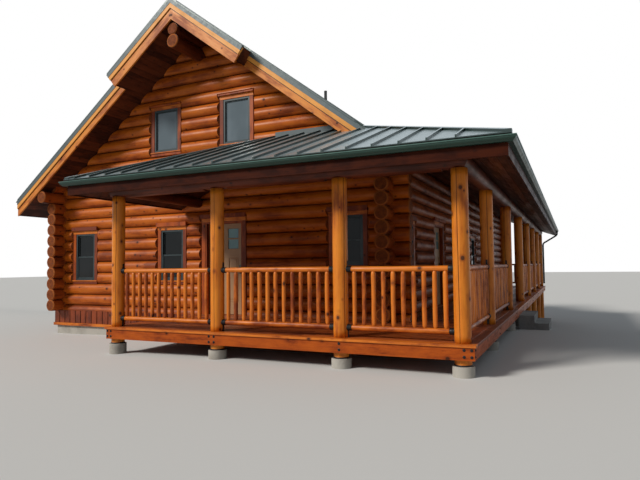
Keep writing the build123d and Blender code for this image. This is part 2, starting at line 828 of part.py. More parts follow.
with BuildPart() as vent_pipe:
    with BuildSketch(Plane.XY.offset(VENT_TOP)):
        with Locations((VENT_X, VENT_Y)):
            Circle(VENT_DIAMETER / 2)
    extrude(amount=main_top(VENT_X) - VENT_DIAMETER - VENT_TOP)
    with BuildSketch(across(VENT_Y + VENT_DIAMETER)):
        slope_profile(0, WALL_X, 0, ROOF_DEPTH)
    extrude(amount=2 * VENT_DIAMETER, mode=Mode.SUBTRACT)
keep(vent_pipe, "vent_pipe")


def rake_layer(high, low, prow_low, back, thickness):
    """One layer of the boards on both gables, at back from the wall axis and that thick."""
    for grow, wall in ((-1, 0), (1, HOUSE_LENGTH)):
        near = wall + grow * back
        high_y = max(near, near + grow * thickness)
        right_end = MEET_X if grow < 0 else BREAK_X
        with BuildSketch(across(high_y)) as section:
            slope_profile(LEFT_EAVE_X + METAL_LIP, 0, high, low)
            slope_profile(0, right_end, high, low)
        extrude(section.sketch, amount=thickness)
        with BuildSketch(across(high_y)) as section:
            main_profile(-2 * SEAM_HEIGHT, 2 * ROOF_DEPTH, PROW_HALF_WIDTH)
        extrude(section.sketch, amount=thickness, mode=Mode.SUBTRACT)
    for grow, wall in ((-1, 0), (1, HOUSE_LENGTH)):
        near = wall + grow * (back + PROW_REACH)
        with BuildSketch(across(max(near, near + grow * thickness))) as section:
            main_profile(high, prow_low, PROW_HALF_WIDTH)
        extrude(section.sketch, amount=thickness)
    add(FRONT_CUTTER, mode=Mode.SUBTRACT)


with BuildPart() as barge_boards:
    rake_layer(METAL_DEPTH, BARGE_DEPTH, PROW_BARGE_DEPTH, RAKE_ROOF, BARGE_THICKNESS)
    with BuildSketch(across(METAL_REAR - RAKE_METAL_THICKNESS)):
        with BuildLine():
            Polyline(
                (BREAK_X, right_top(BREAK_X) - METAL_DEPTH),
                (EAVE_X - ROOF_INSET, right_top(EAVE_X - ROOF_INSET) - METAL_DEPTH),
                (EAVE_X - ROOF_INSET, right_top(EAVE_X - ROOF_INSET) - PORCH_ROOF_DEPTH),
                (BREAK_X, right_top(BREAK_X) - PORCH_ROOF_DEPTH),
                close=True,
            )
        make_face()
    extrude(amount=BARGE_THICKNESS)
    rake_layer(
        BARGE_TRIM_TOP, BARGE_TRIM_BOTTOM, BARGE_TRIM_BOTTOM, RAKE_FACE, BARGE_TRIM_THICKNESS
    )
keep(barge_boards, "barge_boards")

with BuildPart() as rake_metal:
    rake_layer(METAL_DEPTH, BARGE_TRIM_TOP, BARGE_TRIM_TOP, RAKE_FACE, RAKE_METAL_THICKNESS)
keep(rake_metal, "rake_metal")

# Porch roof
for name, layer, outline in (
    ("front", front_layer, front_outline(ROOF_INSET)),
    ("right", right_layer, right_outline(ROOF_INSET, PORCH_REAR)),
    ("left", left_layer, left_outline(ROOF_INSET)),
):
    with BuildPart() as porch_roof:
        add(layer(METAL_DEPTH, PORCH_ROOF_DEPTH, outline))
    keep(porch_roof, f"porch_roof_{name}")

FRONT_SEAM_COUNT = int((PORCH_SEAM_START - HIP_LEFT - METAL_INSET) / SEAM_PITCH) + 1
FRONT_SEAMS = [PORCH_SEAM_START - SEAM_PITCH * i for i in range(FRONT_SEAM_COUNT)]
EXTRA_SEAMS = int((METAL_FRONT - EAVE_Y) / SEAM_PITCH)
RIGHT_SEAMS = [MAIN_SEAMS[0] - SEAM_PITCH * (i + 1) for i in range(EXTRA_SEAMS)] + MAIN_SEAMS
LEFT_SEAMS = seam_centres(EAVE_Y, WALL_FACE_Y)
SEAM_END_Y = WALL_FACE_Y - FLASHING_THICKNESS


def cut_under_main_roof():
    """Takes away what the main roof's front overhang or its boards stand on."""
    with BuildSketch(across(WALL_FACE_Y)) as section:
        slope_profile(0, MEET_X + BARGE_DEPTH, -SEAM_HEIGHT, BARGE_DEPTH)
    extrude(section.sketch, amount=RAKE_REACH + WALL_FACE_Y, mode=Mode.SUBTRACT)


with BuildPart() as front_seams:
    add(front_layer(-SEAM_HEIGHT, 0, front_outline(METAL_INSET, HIP_GAP)))
    add(seam_strips(FRONT_SEAMS, EAVE_Y, SEAM_END_Y, False), mode=Mode.INTERSECT)
    cut_under_main_roof()

with BuildPart() as right_seams:
    add(right_layer(-SEAM_HEIGHT, 0, right_outline(METAL_INSET, METAL_REAR, HIP_GAP)))
    add(seam_strips(RIGHT_SEAMS, BREAK_X, EAVE_X, True), mode=Mode.INTERSECT)

with BuildPart() as left_seams:
    add(left_layer(-SEAM_HEIGHT, 0, left_outline(METAL_INSET, HIP_GAP)))
    add(seam_strips(LEFT_SEAMS, HIP_LEFT, HIP_END, True), mode=Mode.INTERSECT)

with BuildPart() as porch_metal:
    add(front_layer(0, METAL_DEPTH, front_outline(METAL_INSET)))
    add(right_layer(0, METAL_DEPTH, right_outline(METAL_INSET, METAL_REAR)))
    add(left_layer(0, METAL_DEPTH, left_outline(METAL_INSET)))
    add([front_seams.part, right_seams.part, left_seams.part])
keep(porch_metal, "porch_metal")

RIGHT_HIP_FOOT = (EAVE_X - METAL_INSET, EAVE_Y + METAL_INSET)
LEFT_HIP_FOOT = (HIP_LEFT + METAL_INSET, EAVE_Y + LEFT_SLANT * METAL_INSET)

with BuildPart() as roof_caps:
    add(
        front_layer(
            -SEAM_HEIGHT,
            0,
            [
                RIGHT_HIP_FOOT,
                (BREAK_X, BREAK_Y),
                (BREAK_X - HIP_GAP, BREAK_Y),
                (RIGHT_HIP_FOOT[0] - HIP_GAP, RIGHT_HIP_FOOT[1]),
            ],
        )
    )
    add(
        right_layer(
            -SEAM_HEIGHT,
            0,
            [
                RIGHT_HIP_FOOT,
                (BREAK_X, BREAK_Y),
                (BREAK_X, BREAK_Y + HIP_GAP),
                (RIGHT_HIP_FOOT[0], RIGHT_HIP_FOOT[1] + HIP_GAP),
            ],
        )
    )
    cut_under_main_roof()
    add(
        front_layer(
            -SEAM_HEIGHT,
            0,
            [
                LEFT_HIP_FOOT,
                (HIP_END, WALL_FACE_Y),
                (HIP_END + HIP_GAP, WALL_FACE_Y),
                (LEFT_HIP_FOOT[0] + HIP_GAP, LEFT_HIP_FOOT[1]),
            ],
        )
    )
    add(
        left_layer(
            -SEAM_HEIGHT,
            0,
            [
                LEFT_HIP_FOOT,
                (HIP_END, WALL_FACE_Y),
                (HIP_END - HIP_GAP, WALL_FACE_Y),
                (LEFT_HIP_FOOT[0], LEFT_HIP_FOOT[1] + LEFT_SLANT * HIP_GAP),
            ],
        )
    )
    with BuildSketch(across(METAL_REAR + PROW_REACH)):
        for side in (-1, 1):
            slope_profile(0, side * CAP_HALF, -SEAM_HEIGHT, 0)
    extrude(amount=METAL_REAR - METAL_FRONT + 2 * PROW_REACH)
keep(roof_caps, "roof_caps")

SOFFIT_MEET_X = (RIDGE_HEIGHT - ROOF_DEPTH - front_top(WALL_FACE_Y) - FLASHING_HEIGHT) / PITCH

with BuildPart() as wall_flashing:
    with BuildSketch(across(WALL_FACE_Y)):
        with BuildLine():
            Polyline(
                (HIP_END + HIP_GAP, front_top(WALL_FACE_Y)),
                (SOFFIT_MEET_X, front_top(WALL_FACE_Y)),
                (SOFFIT_MEET_X, front_top(WALL_FACE_Y) + FLASHING_HEIGHT),
                (HIP_END + HIP_GAP, front_top(WALL_FACE_Y) + FLASHING_HEIGHT),
                close=True,
            )
        make_face()
    extrude(amount=FLASHING_THICKNESS)
keep(wall_flashing, "wall_flashing")


def eave_ring(outer, inner, low, high, rear, mode=Mode.ADD):
    """A strip along the left, front and right porch eaves, between two insets."""
    left_end = WALL_FACE_Y - FLASHING_THICKNESS
    with BuildSketch(Plane.XY.offset(low)) as section:
        with BuildLine() as outline:
            Polyline(
                (HIP_LEFT + outer, left_end),
                (HIP_LEFT + outer, EAVE_Y + outer),
                (EAVE_X - outer, EAVE_Y + outer),
                (EAVE_X - outer, rear),
                (EAVE_X - inner, rear),
                (EAVE_X - inner, EAVE_Y + inner),
                (HIP_LEFT + inner, EAVE_Y + inner),
                (HIP_LEFT + inner, left_end),
                close=True,
            )
        make_face(outline.edges())
    extrude(section.sketch, amount=high - low, mode=mode)


FASCIA_TOP = PORCH_EAVE_HEIGHT + PORCH_PITCH * GUTTER_WIDTH - METAL_DEPTH
GUTTER_TOP = PORCH_EAVE_HEIGHT - GUTTER_DROP
GUTTER_BOTTOM = GUTTER_TOP - GUTTER_HEIGHT

with BuildPart() as fascia_boards:
    eave_ring(GUTTER_WIDTH, ROOF_INSET, FASCIA_BOTTOM, FASCIA_TOP, PORCH_REAR)
    with BuildSketch(across(HOUSE_LENGTH + RAKE_ROOF)):
        edge = LEFT_EAVE_X + METAL_LIP
        slope_profile(edge, edge + EAVE_BOARD_THICKNESS, METAL_DEPTH, ROOF_DEPTH)
    extrude(amount=ROOF_LENGTH)
keep(fascia_boards, "fascia_boards")

DOWNSPOUT_X = EAVE_X - GUTTER_WIDTH / 2
DOWNSPOUT_DROP = 190
DOWNSPOUT_TURN = POST_X + POST_R + DOWNSPOUT_WIDTH / 2

with BuildPart() as gutters:
    eave_ring(0, GUTTER_WIDTH, GUTTER_BOTTOM, GUTTER_TOP, METAL_REAR)
    eave_ring(
        GUTTER_WALL,
        GUTTER_WIDTH - GUTTER_WALL,
        GUTTER_BOTTOM + GUTTER_WALL,
        GUTTER_TOP,
        METAL_REAR - GUTTER_WALL,
        Mode.SUBTRACT,
    )
    with BuildLine():
        Polyline(
            (DOWNSPOUT_X, HOUSE_LENGTH, GUTTER_BOTTOM),
            (DOWNSPOUT_X, HOUSE_LENGTH, GUTTER_BOTTOM - DOWNSPOUT_DROP),
            (DOWNSPOUT_TURN, HOUSE_LENGTH, GUTTER_BOTTOM - 3 * DOWNSPOUT_DROP),
            (DOWNSPOUT_TURN, HOUSE_LENGTH, FLOOR_LEVEL + DOWNSPOUT_END),
        )
    with BuildSketch(Plane.XY.offset(GUTTER_BOTTOM)):
        with Locations((DOWNSPOUT_X, HOUSE_LENGTH)):
            Rectangle(DOWNSPOUT_WIDTH, DOWNSPOUT_WIDTH)
    sweep(transition=Transition.RIGHT)
keep(gutters, "gutters")

# Porch deck
DECK_FRONT_OUTLINE = (DECK_LEFT, PORCH_EDGE_X, PORCH_EDGE_Y, WALL_FACE_Y)
DECK_SIDE_OUTLINE = (WALL_X + LOG_R, PORCH_EDGE_X, WALL_FACE_Y, DECK_REAR)

for name, outline in (("deck_front", DECK_FRONT_OUTLINE), ("deck_side", DECK_SIDE_OUTLINE)):
    with BuildPart() as deck:
        panel(Plane.XY, DECK_UNDER, DECK_THICKNESS, *outline)
    keep(deck, name)

RIM_X = PORCH_EDGE_X - NOSING
RIM_Y = PORCH_EDGE_Y + NOSING
RIM_LEFT = DECK_LEFT + NOSING
RIM_REAR = DECK_REAR - NOSING

with BuildPart() as deck_rims:
    with BuildSketch(Plane.XY.offset(DECK_UNDER - RIM_HEIGHT)):
        with BuildLine():
            Polyline(
                (RIM_LEFT, WALL_FACE_Y),
                (RIM_LEFT, RIM_Y),
                (RIM_X, RIM_Y),
                (RIM_X, RIM_REAR),
                (WALL_X + LOG_R, RIM_REAR),
                (WALL_X + LOG_R, RIM_REAR - RIM_THICKNESS),
                (RIM_X - RIM_THICKNESS, RIM_REAR - RIM_THICKNESS),
                (RIM_X - RIM_THICKNESS, RIM_Y + RIM_THICKNESS),
                (RIM_LEFT + RIM_THICKNESS, RIM_Y + RIM_THICKNESS),
                (RIM_LEFT + RIM_THICKNESS, WALL_FACE_Y),
                close=True,
            )
        make_face()
    extrude(amount=RIM_HEIGHT)
    with BuildSketch(Plane.XY.offset(DECK_UNDER - RIM_HEIGHT)):
        with Locations((FRONT_POST_X[0], POST_Y), (POST_X, SIDE_POST_Y[-1])):
            Circle(POST_R)
    extrude(amount=RIM_HEIGHT, mode=Mode.SUBTRACT)
keep(deck_rims, "deck_rims")


def joist_places(posts):
    """Joists evenly spread between each pair of posts, half a space clear of each post."""
    places = []
    for first, last in zip(posts[:-1], posts[1:]):
        count = round((last - first) / JOIST_SPACING)
        places += [first + (last - first) * (i + 0.5) / count for i in range(count)]
    return places


JOIST_LOW = DECK_UNDER - JOIST_HEIGHT

with BuildPart() as deck_joists:
    front, rear = RIM_Y + RIM_THICKNESS, WALL_FACE_Y
    with BuildSketch(Plane.XY.offset(JOIST_LOW)):
        with Locations(*[(x, (front + rear) / 2) for x in joist_places(FRONT_POST_X)]):
            Rectangle(JOIST_THICKNESS, rear - front)
    left, right = WALL_X + LOG_R, RIM_X - RIM_THICKNESS
    with BuildSketch(Plane.XY.offset(JOIST_LOW)):
        with Locations(*[((left + right) / 2, y) for y in joist_places(SIDE_POST_Y)]):
            Rectangle(right - left, JOIST_THICKNESS)
    extrude(amount=JOIST_HEIGHT)
keep(deck_joists, "deck_joists")

# Porch posts, their legs and piers
POST_PLACES = [(x, POST_Y) for x in FRONT_POST_X] + [(POST_X, y) for y in SIDE_POST_Y]


def pier_top(y):
    """Height of a pier: level along the front, then falling with the ground to the rear."""
    if y <= SIDE_POSTS[-1]:
        return FLOOR_LEVEL - PIER_DROP
    return FLOOR_LEVEL - REAR_PIER_DROP - GROUND_FALL * (y - REAR_POSTS[0])


with BuildPart() as porch_posts:
    with BuildSketch(Plane.XY.offset(FLOOR_LEVEL)):
        with Locations(*POST_PLACES):
            Circle(POST_R)
    extrude(amount=POST_TOP - FLOOR_LEVEL)
keep(porch_posts, "porch_posts")

with BuildPart() as post_legs:
    for x, y in POST_PLACES:
        with BuildSketch(Plane.XY.offset(pier_top(y))):
            with Locations((x, y)):
                Circle(POST_R)
        extrude(amount=DECK_UNDER - pier_top(y))
keep(post_legs, "post_legs")

with BuildPart() as piers:
    for x, y in POST_PLACES:
        with BuildSketch():
            with Locations((x, y)):
                Circle(PIER_DIAMETER / 2)
        extrude(amount=pier_top(y))
keep(piers, "piers")

# Beams: round logs seated flat on the posts, mitred at the corners, cut to the soffit on top
LEFT_BEAM_AXIS = left_top(0) - PORCH_ROOF_DEPTH - LEFT_BEAM_DIAMETER * 0.44
BEAM_REAR = HOUSE_LENGTH + POST_R


def seat_beam(places):
    """Cuts the flat seats that a beam has on its posts."""
    for x, y in places:
        panel(
            Plane.XY,
            0,
            POST_TOP,
            x - POST_DIAMETER,
            x + POST_DIAMETER,
            y - POST_DIAMETER,
            y + POST_DIAMETER,
            Mode.SUBTRACT,
        )


with BuildPart() as porch_beam_front:
    with BuildSketch(along(-POST_R)):
        with Locations((POST_Y, BEAM_AXIS)):
            Circle(BEAM_R)
    extrude(amount=POST_X + BEAM_R + POST_R)
    with BuildSketch():
        with BuildLine():
            Polyline(
                (-POST_DIAMETER, POST_Y - BEAM_DIAMETER),
                (POST_X + BEAM_DIAMETER, POST_Y - BEAM_DIAMETER),
                (POST_X - BEAM_DIAMETER, POST_Y + BEAM_DIAMETER),
                (-POST_DIAMETER, POST_Y + BEAM_DIAMETER),
                close=True,
            )
        make_face()
    extrude(amount=TALL, mode=Mode.INTERSECT)
    add(front_layer(0, PORCH_ROOF_DEPTH, front_outline(0)), mode=Mode.SUBTRACT)
    add(left_layer(0, PORCH_ROOF_DEPTH, left_outline(0)), mode=Mode.SUBTRACT)
    seat_beam((x, POST_Y) for x in FRONT_POST_X)
keep(porch_beam_front, "porch_beam_front")

with BuildPart() as porch_beams_side:
    with BuildSketch(across(BEAM_REAR)):
        with Locations((POST_X, BEAM_AXIS)):
            Circle(BEAM_R)
    extrude(amount=BEAM_REAR - POST_Y + BEAM_R)
    with BuildSketch():
        with BuildLine():
            Polyline(
                (POST_X + BEAM_DIAMETER, POST_Y - BEAM_DIAMETER),
                (POST_X + BEAM_DIAMETER, BEAM_REAR),
                (POST_X - BEAM_DIAMETER, BEAM_REAR),
                (POST_X - BEAM_DIAMETER, POST_Y + BEAM_DIAMETER),
                close=True,
            )
        make_face()
    extrude(amount=TALL, mode=Mode.INTERSECT)
    add(right_layer(0, PORCH_ROOF_DEPTH, right_outline(0, METAL_REAR)), mode=Mode.SUBTRACT)
    seat_beam((POST_X, y) for y in (POST_Y, *SIDE_POST_Y))
    with BuildSketch(across(WALL_FACE_Y)):
        with Locations((0, LEFT_BEAM_AXIS)):
            Circle(LEFT_BEAM_DIAMETER / 2)
    extrude(amount=WALL_FACE_Y - POST_Y - BEAM_R)
    add(left_layer(0, PORCH_ROOF_DEPTH, left_outline(0)), mode=Mode.SUBTRACT)
keep(porch_beams_side, "porch_beams_side")

# Railings
RAIL_R = RAIL_DIAMETER / 2
LOW_RAIL = FLOOR_LEVEL + LOW_RAIL_AXIS


def bays(places):
    return list(zip(places[:-1], places[1:]))


def bay_run(start, end):
    """Where a bay's rails start, the way they run and their length between the brackets."""
    run = Vector(*end, 0) - Vector(*start, 0)
    heading = run.normalized()
    reach = POST_R + BRACKET_LENGTH
    return Vector(*start, 0) + heading * reach, heading, run.length - 2 * reach


def add_railings(railed_bays):
    """Two rails between the brackets of each bay, and the balusters that they hold."""
    places = []
    for start, end in railed_bays:
        first, heading, clear = bay_run(start, end)
        rails = [
            Plane(origin=first + Vector(0, 0, height), x_dir=(0, 0, away), z_dir=heading)
            for height, away in ((LOW_RAIL, -1), (RAIL_AXIS, 1))
        ]
        with BuildSketch(*rails) as section:
            Circle(RAIL_R)
        extrude(section.sketch, amount=clear)
        spaces = round(clear / BALUSTER_SPACING)
        turn = Vector(1, 0, 0).get_signed_angle(heading)
        for i in range(1, spaces):
            place = first + heading * (clear * i / spaces)
            places.append(Location((place.X, place.Y, 0), (0, 0, turn)))
    with BuildSketch(Plane.XY.offset(LOW_RAIL)) as section:
        with Locations(*places):
            RegularPolygon(BALUSTER_DIAMETER / 2, BALUSTER_SIDES)
    extrude(section.sketch, amount=RAIL_AXIS - LOW_RAIL)


FRONT_BAYS = bays([(x, POST_Y) for x in FRONT_POST_X])
SIDE_BAYS = bays([(POST_X, y) for y in (POST_Y, *SIDE_POST_Y)])
OPEN_BAY_INDEX = len(SIDE_POSTS) - OPEN_BAY
RAILED_SIDE_BAYS = SIDE_BAYS[:OPEN_BAY_INDEX] + SIDE_BAYS[OPEN_BAY_INDEX + 1 :]
REAR_BAYS = [((POST_X, SIDE_POST_Y[-1]), (WALL_END - POST_R, SIDE_POST_Y[-1]))]

with BuildPart() as railings_front:
    add_railings(FRONT_BAYS)
keep(railings_front, "railings_front")

with BuildPart() as railings_side:
    add_railings(RAILED_SIDE_BAYS + REAR_BAYS)
keep(railings_side, "railings_side")

BRACKET_PLACES = [
    Plane(origin=Vector(*here, height) + heading * POST_R, z_dir=heading)
    for start, end in FRONT_BAYS + RAILED_SIDE_BAYS + REAR_BAYS
    for here, heading in ((start, bay_run(start, end)[1]), (end, bay_run(end, start)[1]))
    for height in (LOW_RAIL, RAIL_AXIS)
]

with BuildPart() as rail_brackets:
    with BuildSketch(*BRACKET_PLACES):
        Circle(BRACKET_DIAMETER / 2)
    extrude(amount=BRACKET_LENGTH)
keep(rail_brackets, "rail_brackets")

# Steps up to the open bay
with BuildPart() as entry_steps:
    with BuildSketch(across(STEP_START + STEP_WIDTH)):
        with BuildLine():
            Polyline(
                (RIM_X, 0),
                (RIM_X, FLOOR_LEVEL - STEP_RISE),
                (PORCH_EDGE_X + STEP_TREAD, FLOOR_LEVEL - STEP_RISE),
                (PORCH_EDGE_X + STEP_TREAD, FLOOR_LEVEL - 2 * STEP_RISE),
                (PORCH_EDGE_X + 2 * STEP_TREAD, FLOOR_LEVEL - 2 * STEP_RISE),
                (PORCH_EDGE_X + 2 * STEP_TREAD, 0),
                close=True,
            )
        make_face()
    extrude(amount=STEP_WIDTH)
keep(entry_steps, "entry_steps")

# Windows
DOUBLE_HUNG = (
    (LOWER_WINDOW, [place for place, size in FRONT_WINDOWS + REAR_WINDOWS]),
    (SMALL_WINDOW, [place for place, size in SMALL_WINDOWS]),
    (SIDE_WINDOW, [place for place, size in RIGHT_WINDOWS + LEFT_WINDOWS]),
)
SINGLE_PANE = ((UPPER_WINDOW, [place for place, size in UPPER_WINDOWS + REAR_UPPER_WINDOWS]),)


def add_frames(places, offset, depth, outer, inner):
    """Upright rectangular rings on several places: each of outer and inner is a half width,
    a foot and a head, or inner is None for a plain sheet."""
    with BuildSketch(*[place.offset(offset) for place in places]) as section:
        half, foot, head = outer
        with Locations((0, (foot + head) / 2)):
            Rectangle(2 * half, head - foot)
        if inner:
            half, foot, head = inner
            with Locations((0, (foot + head) / 2)):
                Rectangle(2 * half, head - foot, mode=Mode.SUBTRACT)
    extrude(section.sketch, amount=depth)


with BuildPart() as window_frames:
    for (width, height), places in DOUBLE_HUNG + SINGLE_PANE:
        inside = (width / 2 - FRAME_WIDTH, FRAME_WIDTH, height - FRAME_WIDTH)
        add_frames(places, FRAME_BACK, FRAME_FACE - FRAME_BACK, (width / 2, 0, height), inside)
    for (width, height), places in DOUBLE_HUNG:
        low = (height - SASH_RAIL) / 2
        rail = (width / 2 - FRAME_WIDTH, low, low + SASH_RAIL)
        add_frames(places, SASH_BACK, SASH_FACE - SASH_BACK, rail, None)
keep(window_frames, "window_frames")

with BuildPart() as casings:
    for (width, height), places in DOUBLE_HUNG + SINGLE_PANE:
        outer = (width / 2 + CASING_WIDTH, -SILL_CASING, height + CASING_WIDTH)
        add_frames(places, RECESS_FACE, CASING_THICKNESS, outer, (width / 2, 0, height))
    outer = (DOORWAY_HALF + CASING_WIDTH, 0, DOORWAY_HEIGHT + CASING_WIDTH)
    inner = (DOORWAY_HALF, 0, DOORWAY_HEIGHT)
    add_frames((FRONT_DOORWAY, SIDE_DOORWAY), RECESS_FACE, CASING_THICKNESS, outer, inner)
keep(casings, "casings")

with BuildPart() as window_glass:
    for (width, height), places in DOUBLE_HUNG:
        half = width / 2 - FRAME_WIDTH
        low = (height - SASH_RAIL) / 2
        for foot, head in ((FRAME_WIDTH, low), (low + SASH_RAIL, height - FRAME_WIDTH)):
            add_frames(places, GLASS_BACK, GLASS_THICKNESS, (half, foot, head), None)
    for (width, height), places in SINGLE_PANE:
        pane = (width / 2 - FRAME_WIDTH, FRAME_WIDTH, height - FRAME_WIDTH)
        add_frames(places, GLASS_BACK, GLASS_THICKNESS, pane, None)
keep(window_glass, "window_glass")

# Doors
LEAF_HALF = DOOR_WIDTH / 2
LEAF_TOP = LEAF_BOTTOM + DOOR_HEIGHT
LEAF_BACK = DOOR_FACE - DOOR_THICKNESS
HINGE_X = -LEAF_HALF + HINGE_INSET
HINGE_BACK = LEAF_BACK - KNUCKLE_DIAMETER / 2 - FIT
OPENING_HALF = LEAF_HALF + DOOR_GAP
OPENING_TOP = LEAF_TOP + DOOR_GAP
LITE_COLUMNS = (-(LITE_MIDDLE + LITE_WIDTH) / 2, (LITE_MIDDLE + LITE_WIDTH) / 2)
LITE_ROWS = (LITE_BOTTOM, LITE_BOTTOM + LITE_HEIGHT + LITE_BAR)

STOP_BACK = DOOR_FACE + STOP_GAP


def add_door_frame(place):
    """Jambs, head and threshold, the stop that the leaf closes against, and the hinge knuckles."""
    wide, tall = DOORWAY_HALF, DOORWAY_HEIGHT
    inner, top = OPENING_HALF, OPENING_TOP
    depth = FRAME_FACE - JAMB_BACK
    panel(place, JAMB_BACK, depth, -wide, wide, 0, tall)
    panel(place, JAMB_BACK, depth, -inner, inner, THRESHOLD, top, Mode.SUBTRACT)
    panel(place, STOP_BACK, STOP_DEPTH, -inner, inner, THRESHOLD, top)
    inner, top = OPENING_HALF - STOP, OPENING_TOP - STOP
    panel(place, STOP_BACK, STOP_DEPTH, -inner, inner, THRESHOLD, top, Mode.SUBTRACT)
    plate_back = HINGE_BACK - KNUCKLE_DIAMETER / 2
    for height in HINGE_HEIGHTS:
        axis = (place * Location((HINGE_X, height, HINGE_BACK))).position
        with BuildSketch(Plane(origin=axis, z_dir=(0, 0, 1))) as section:
            Circle(KNUCKLE_DIAMETER / 2)
        extrude(section.sketch, amount=KNUCKLE_HEIGHT)
        upper = height + KNUCKLE_HEIGHT
        panel(place, plate_back, HINGE_PLATE, -OPENING_HALF, HINGE_X, height, upper)


def add_lites(place, mode):
    """The door's four lites, cut through the leaf or filled with glass."""
    back, depth = LEAF_BACK, DOOR_THICKNESS
    if mode == Mode.ADD:
        back, depth = (LEAF_BACK + DOOR_FACE - GLASS_THICKNESS) / 2, GLASS_THICKNESS
    for middle in LITE_COLUMNS:
        for foot in LITE_ROWS:
            left, right = middle - LITE_WIDTH / 2, middle + LITE_WIDTH / 2
            panel(place, back, depth, left, right, foot, foot + LITE_HEIGHT, mode)


def add_knob(place, turn):
    """A knob on its rose, and a lock rose above it, on one face of the leaf."""
    face = DOOR_FACE if turn > 0 else -LEAF_BACK
    for height, parts in (
        (
            KNOB_HEIGHT,
            (
                (ROSE_DIAMETER, 0, ROSE_THICKNESS),
                (STEM_DIAMETER, ROSE_THICKNESS, KNOB_REACH - KNOB_DIAMETER / 2),
                (KNOB_DIAMETER, KNOB_REACH - KNOB_DIAMETER / 2, KNOB_REACH),
            ),
        ),
        (BOLT_HEIGHT, ((ROSE_DIAMETER, 0, BOLT_THICKNESS),)),
    ):
        spot = place * Location((LEAF_HALF - KNOB_FROM_EDGE, height, 0))
        outward = place.z_dir * turn
        for diameter, near, far in parts:
            origin = spot.position + outward * (face + near)
            with BuildSketch(Plane(origin=origin, z_dir=outward)) as section:
                Circle(diameter / 2)
            extrude(section.sketch, amount=far - near)


for name, place in (("front_door", FRONT_DOORWAY), ("side_door", SIDE_DOORWAY)):
    with BuildPart() as door_frame:
        add_door_frame(place)
    keep(door_frame, f"{name}_frame")

    with BuildPart() as door_leaf:
        panel(place, LEAF_BACK, DOOR_THICKNESS, -LEAF_HALF, LEAF_HALF, LEAF_BOTTOM, LEAF_TOP)
        add_lites(place, Mode.SUBTRACT)
        for middle in LITE_COLUMNS:
            for face in (DOOR_FACE - DOOR_PANEL_DEPTH, LEAF_BACK):
                panel(
                    place,
                    face,
                    DOOR_PANEL_DEPTH,
                    middle - DOOR_PANEL_WIDTH / 2,
                    middle + DOOR_PANEL_WIDTH / 2,
                    DOOR_PANEL_BOTTOM,
                    DOOR_PANEL_TOP,
                    Mode.SUBTRACT,
                )
    keep(door_leaf, f"{name}_leaf")

    with BuildPart() as door_glass:
        add_lites(place, Mode.ADD)
    keep(door_glass, f"{name}_glass")

    with BuildPart() as door_knobs:
        for turn in (1, -1):
            add_knob(place, turn)
    keep(door_knobs, f"{name}_knobs")
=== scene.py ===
import bmesh
import bpy
import random
from math import atan, cos, pi, radians, sin, tau
from mathutils import Matrix, Vector


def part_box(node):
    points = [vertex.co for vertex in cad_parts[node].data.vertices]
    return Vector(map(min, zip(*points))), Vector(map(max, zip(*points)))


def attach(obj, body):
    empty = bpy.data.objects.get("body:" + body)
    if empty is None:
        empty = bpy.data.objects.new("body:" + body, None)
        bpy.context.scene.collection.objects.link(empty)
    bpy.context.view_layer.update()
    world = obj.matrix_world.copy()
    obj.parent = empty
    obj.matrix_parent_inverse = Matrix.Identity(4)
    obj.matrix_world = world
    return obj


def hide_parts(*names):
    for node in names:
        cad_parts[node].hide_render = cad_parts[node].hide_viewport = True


# A full-log cabin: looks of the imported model, in metres and in its own frame.

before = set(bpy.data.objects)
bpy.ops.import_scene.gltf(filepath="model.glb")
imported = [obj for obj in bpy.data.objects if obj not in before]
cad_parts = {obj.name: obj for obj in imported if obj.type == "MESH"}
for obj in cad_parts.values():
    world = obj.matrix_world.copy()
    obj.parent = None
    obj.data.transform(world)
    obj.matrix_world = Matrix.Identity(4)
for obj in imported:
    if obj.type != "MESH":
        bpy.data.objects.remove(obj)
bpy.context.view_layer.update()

# Main sizes, as they are in the model: the ridge line, the walls' axes, the floor and the logs
RIDGE_X = -0.9105
WALL_Y = -7.7255
LENGTH = 17.7
REAR_Y = WALL_Y + LENGTH
WALL_X = 4.47
FLOOR = 1.65
COURSE = 0.2765
LOG_R = 0.15
LOG_TAIL = 0.44
WALL_FRONT, WALL_REAR = WALL_Y - LOG_R, REAR_Y + LOG_R

# Roofs: pitch, thickness, and the porch roof's height and eaves
ROOF_PITCH = 0.766
RIDGE_TOP = 8.56
ROOF_THICK = 0.390
PORCH_PITCH = 0.365
PORCH_EAVE_TOP = 2.657
PORCH_EAVE_FRONT, PORCH_EAVE_RIGHT = 3.401, 7.161
PORCH_THICK = 0.300

# Porch: deck edges and posts
DECK_RIGHT = RIDGE_X + 6.53
DECK_FRONT = WALL_Y - 2.77
DECK_LEFT = RIDGE_X - 0.13
DECK_TOP, DECK_UNDER = FLOOR, FLOOR - 0.038
POST_X = RIDGE_X + 6.322
POST_Y = WALL_Y - 2.562
POST_R = 0.118
POST_HEIGHT = 2.415
FRONT_POSTS = [RIDGE_X + x for x in (0, 2.242, 4.508)] + [POST_X]
SIDE_POSTS = [WALL_Y + y for y in (0, 3.19, 6.43)]
REAR_POSTS = [WALL_Y + 6.43 + 2.8175 * i for i in range(1, 5)]

UP = Vector((0, 0, 1))
RIGHT, LEFT = Vector((1, 0, 0)), Vector((-1, 0, 0))
FRONTWARD, REARWARD = Vector((0, -1, 0)), Vector((0, 1, 0))


# Shader node helpers


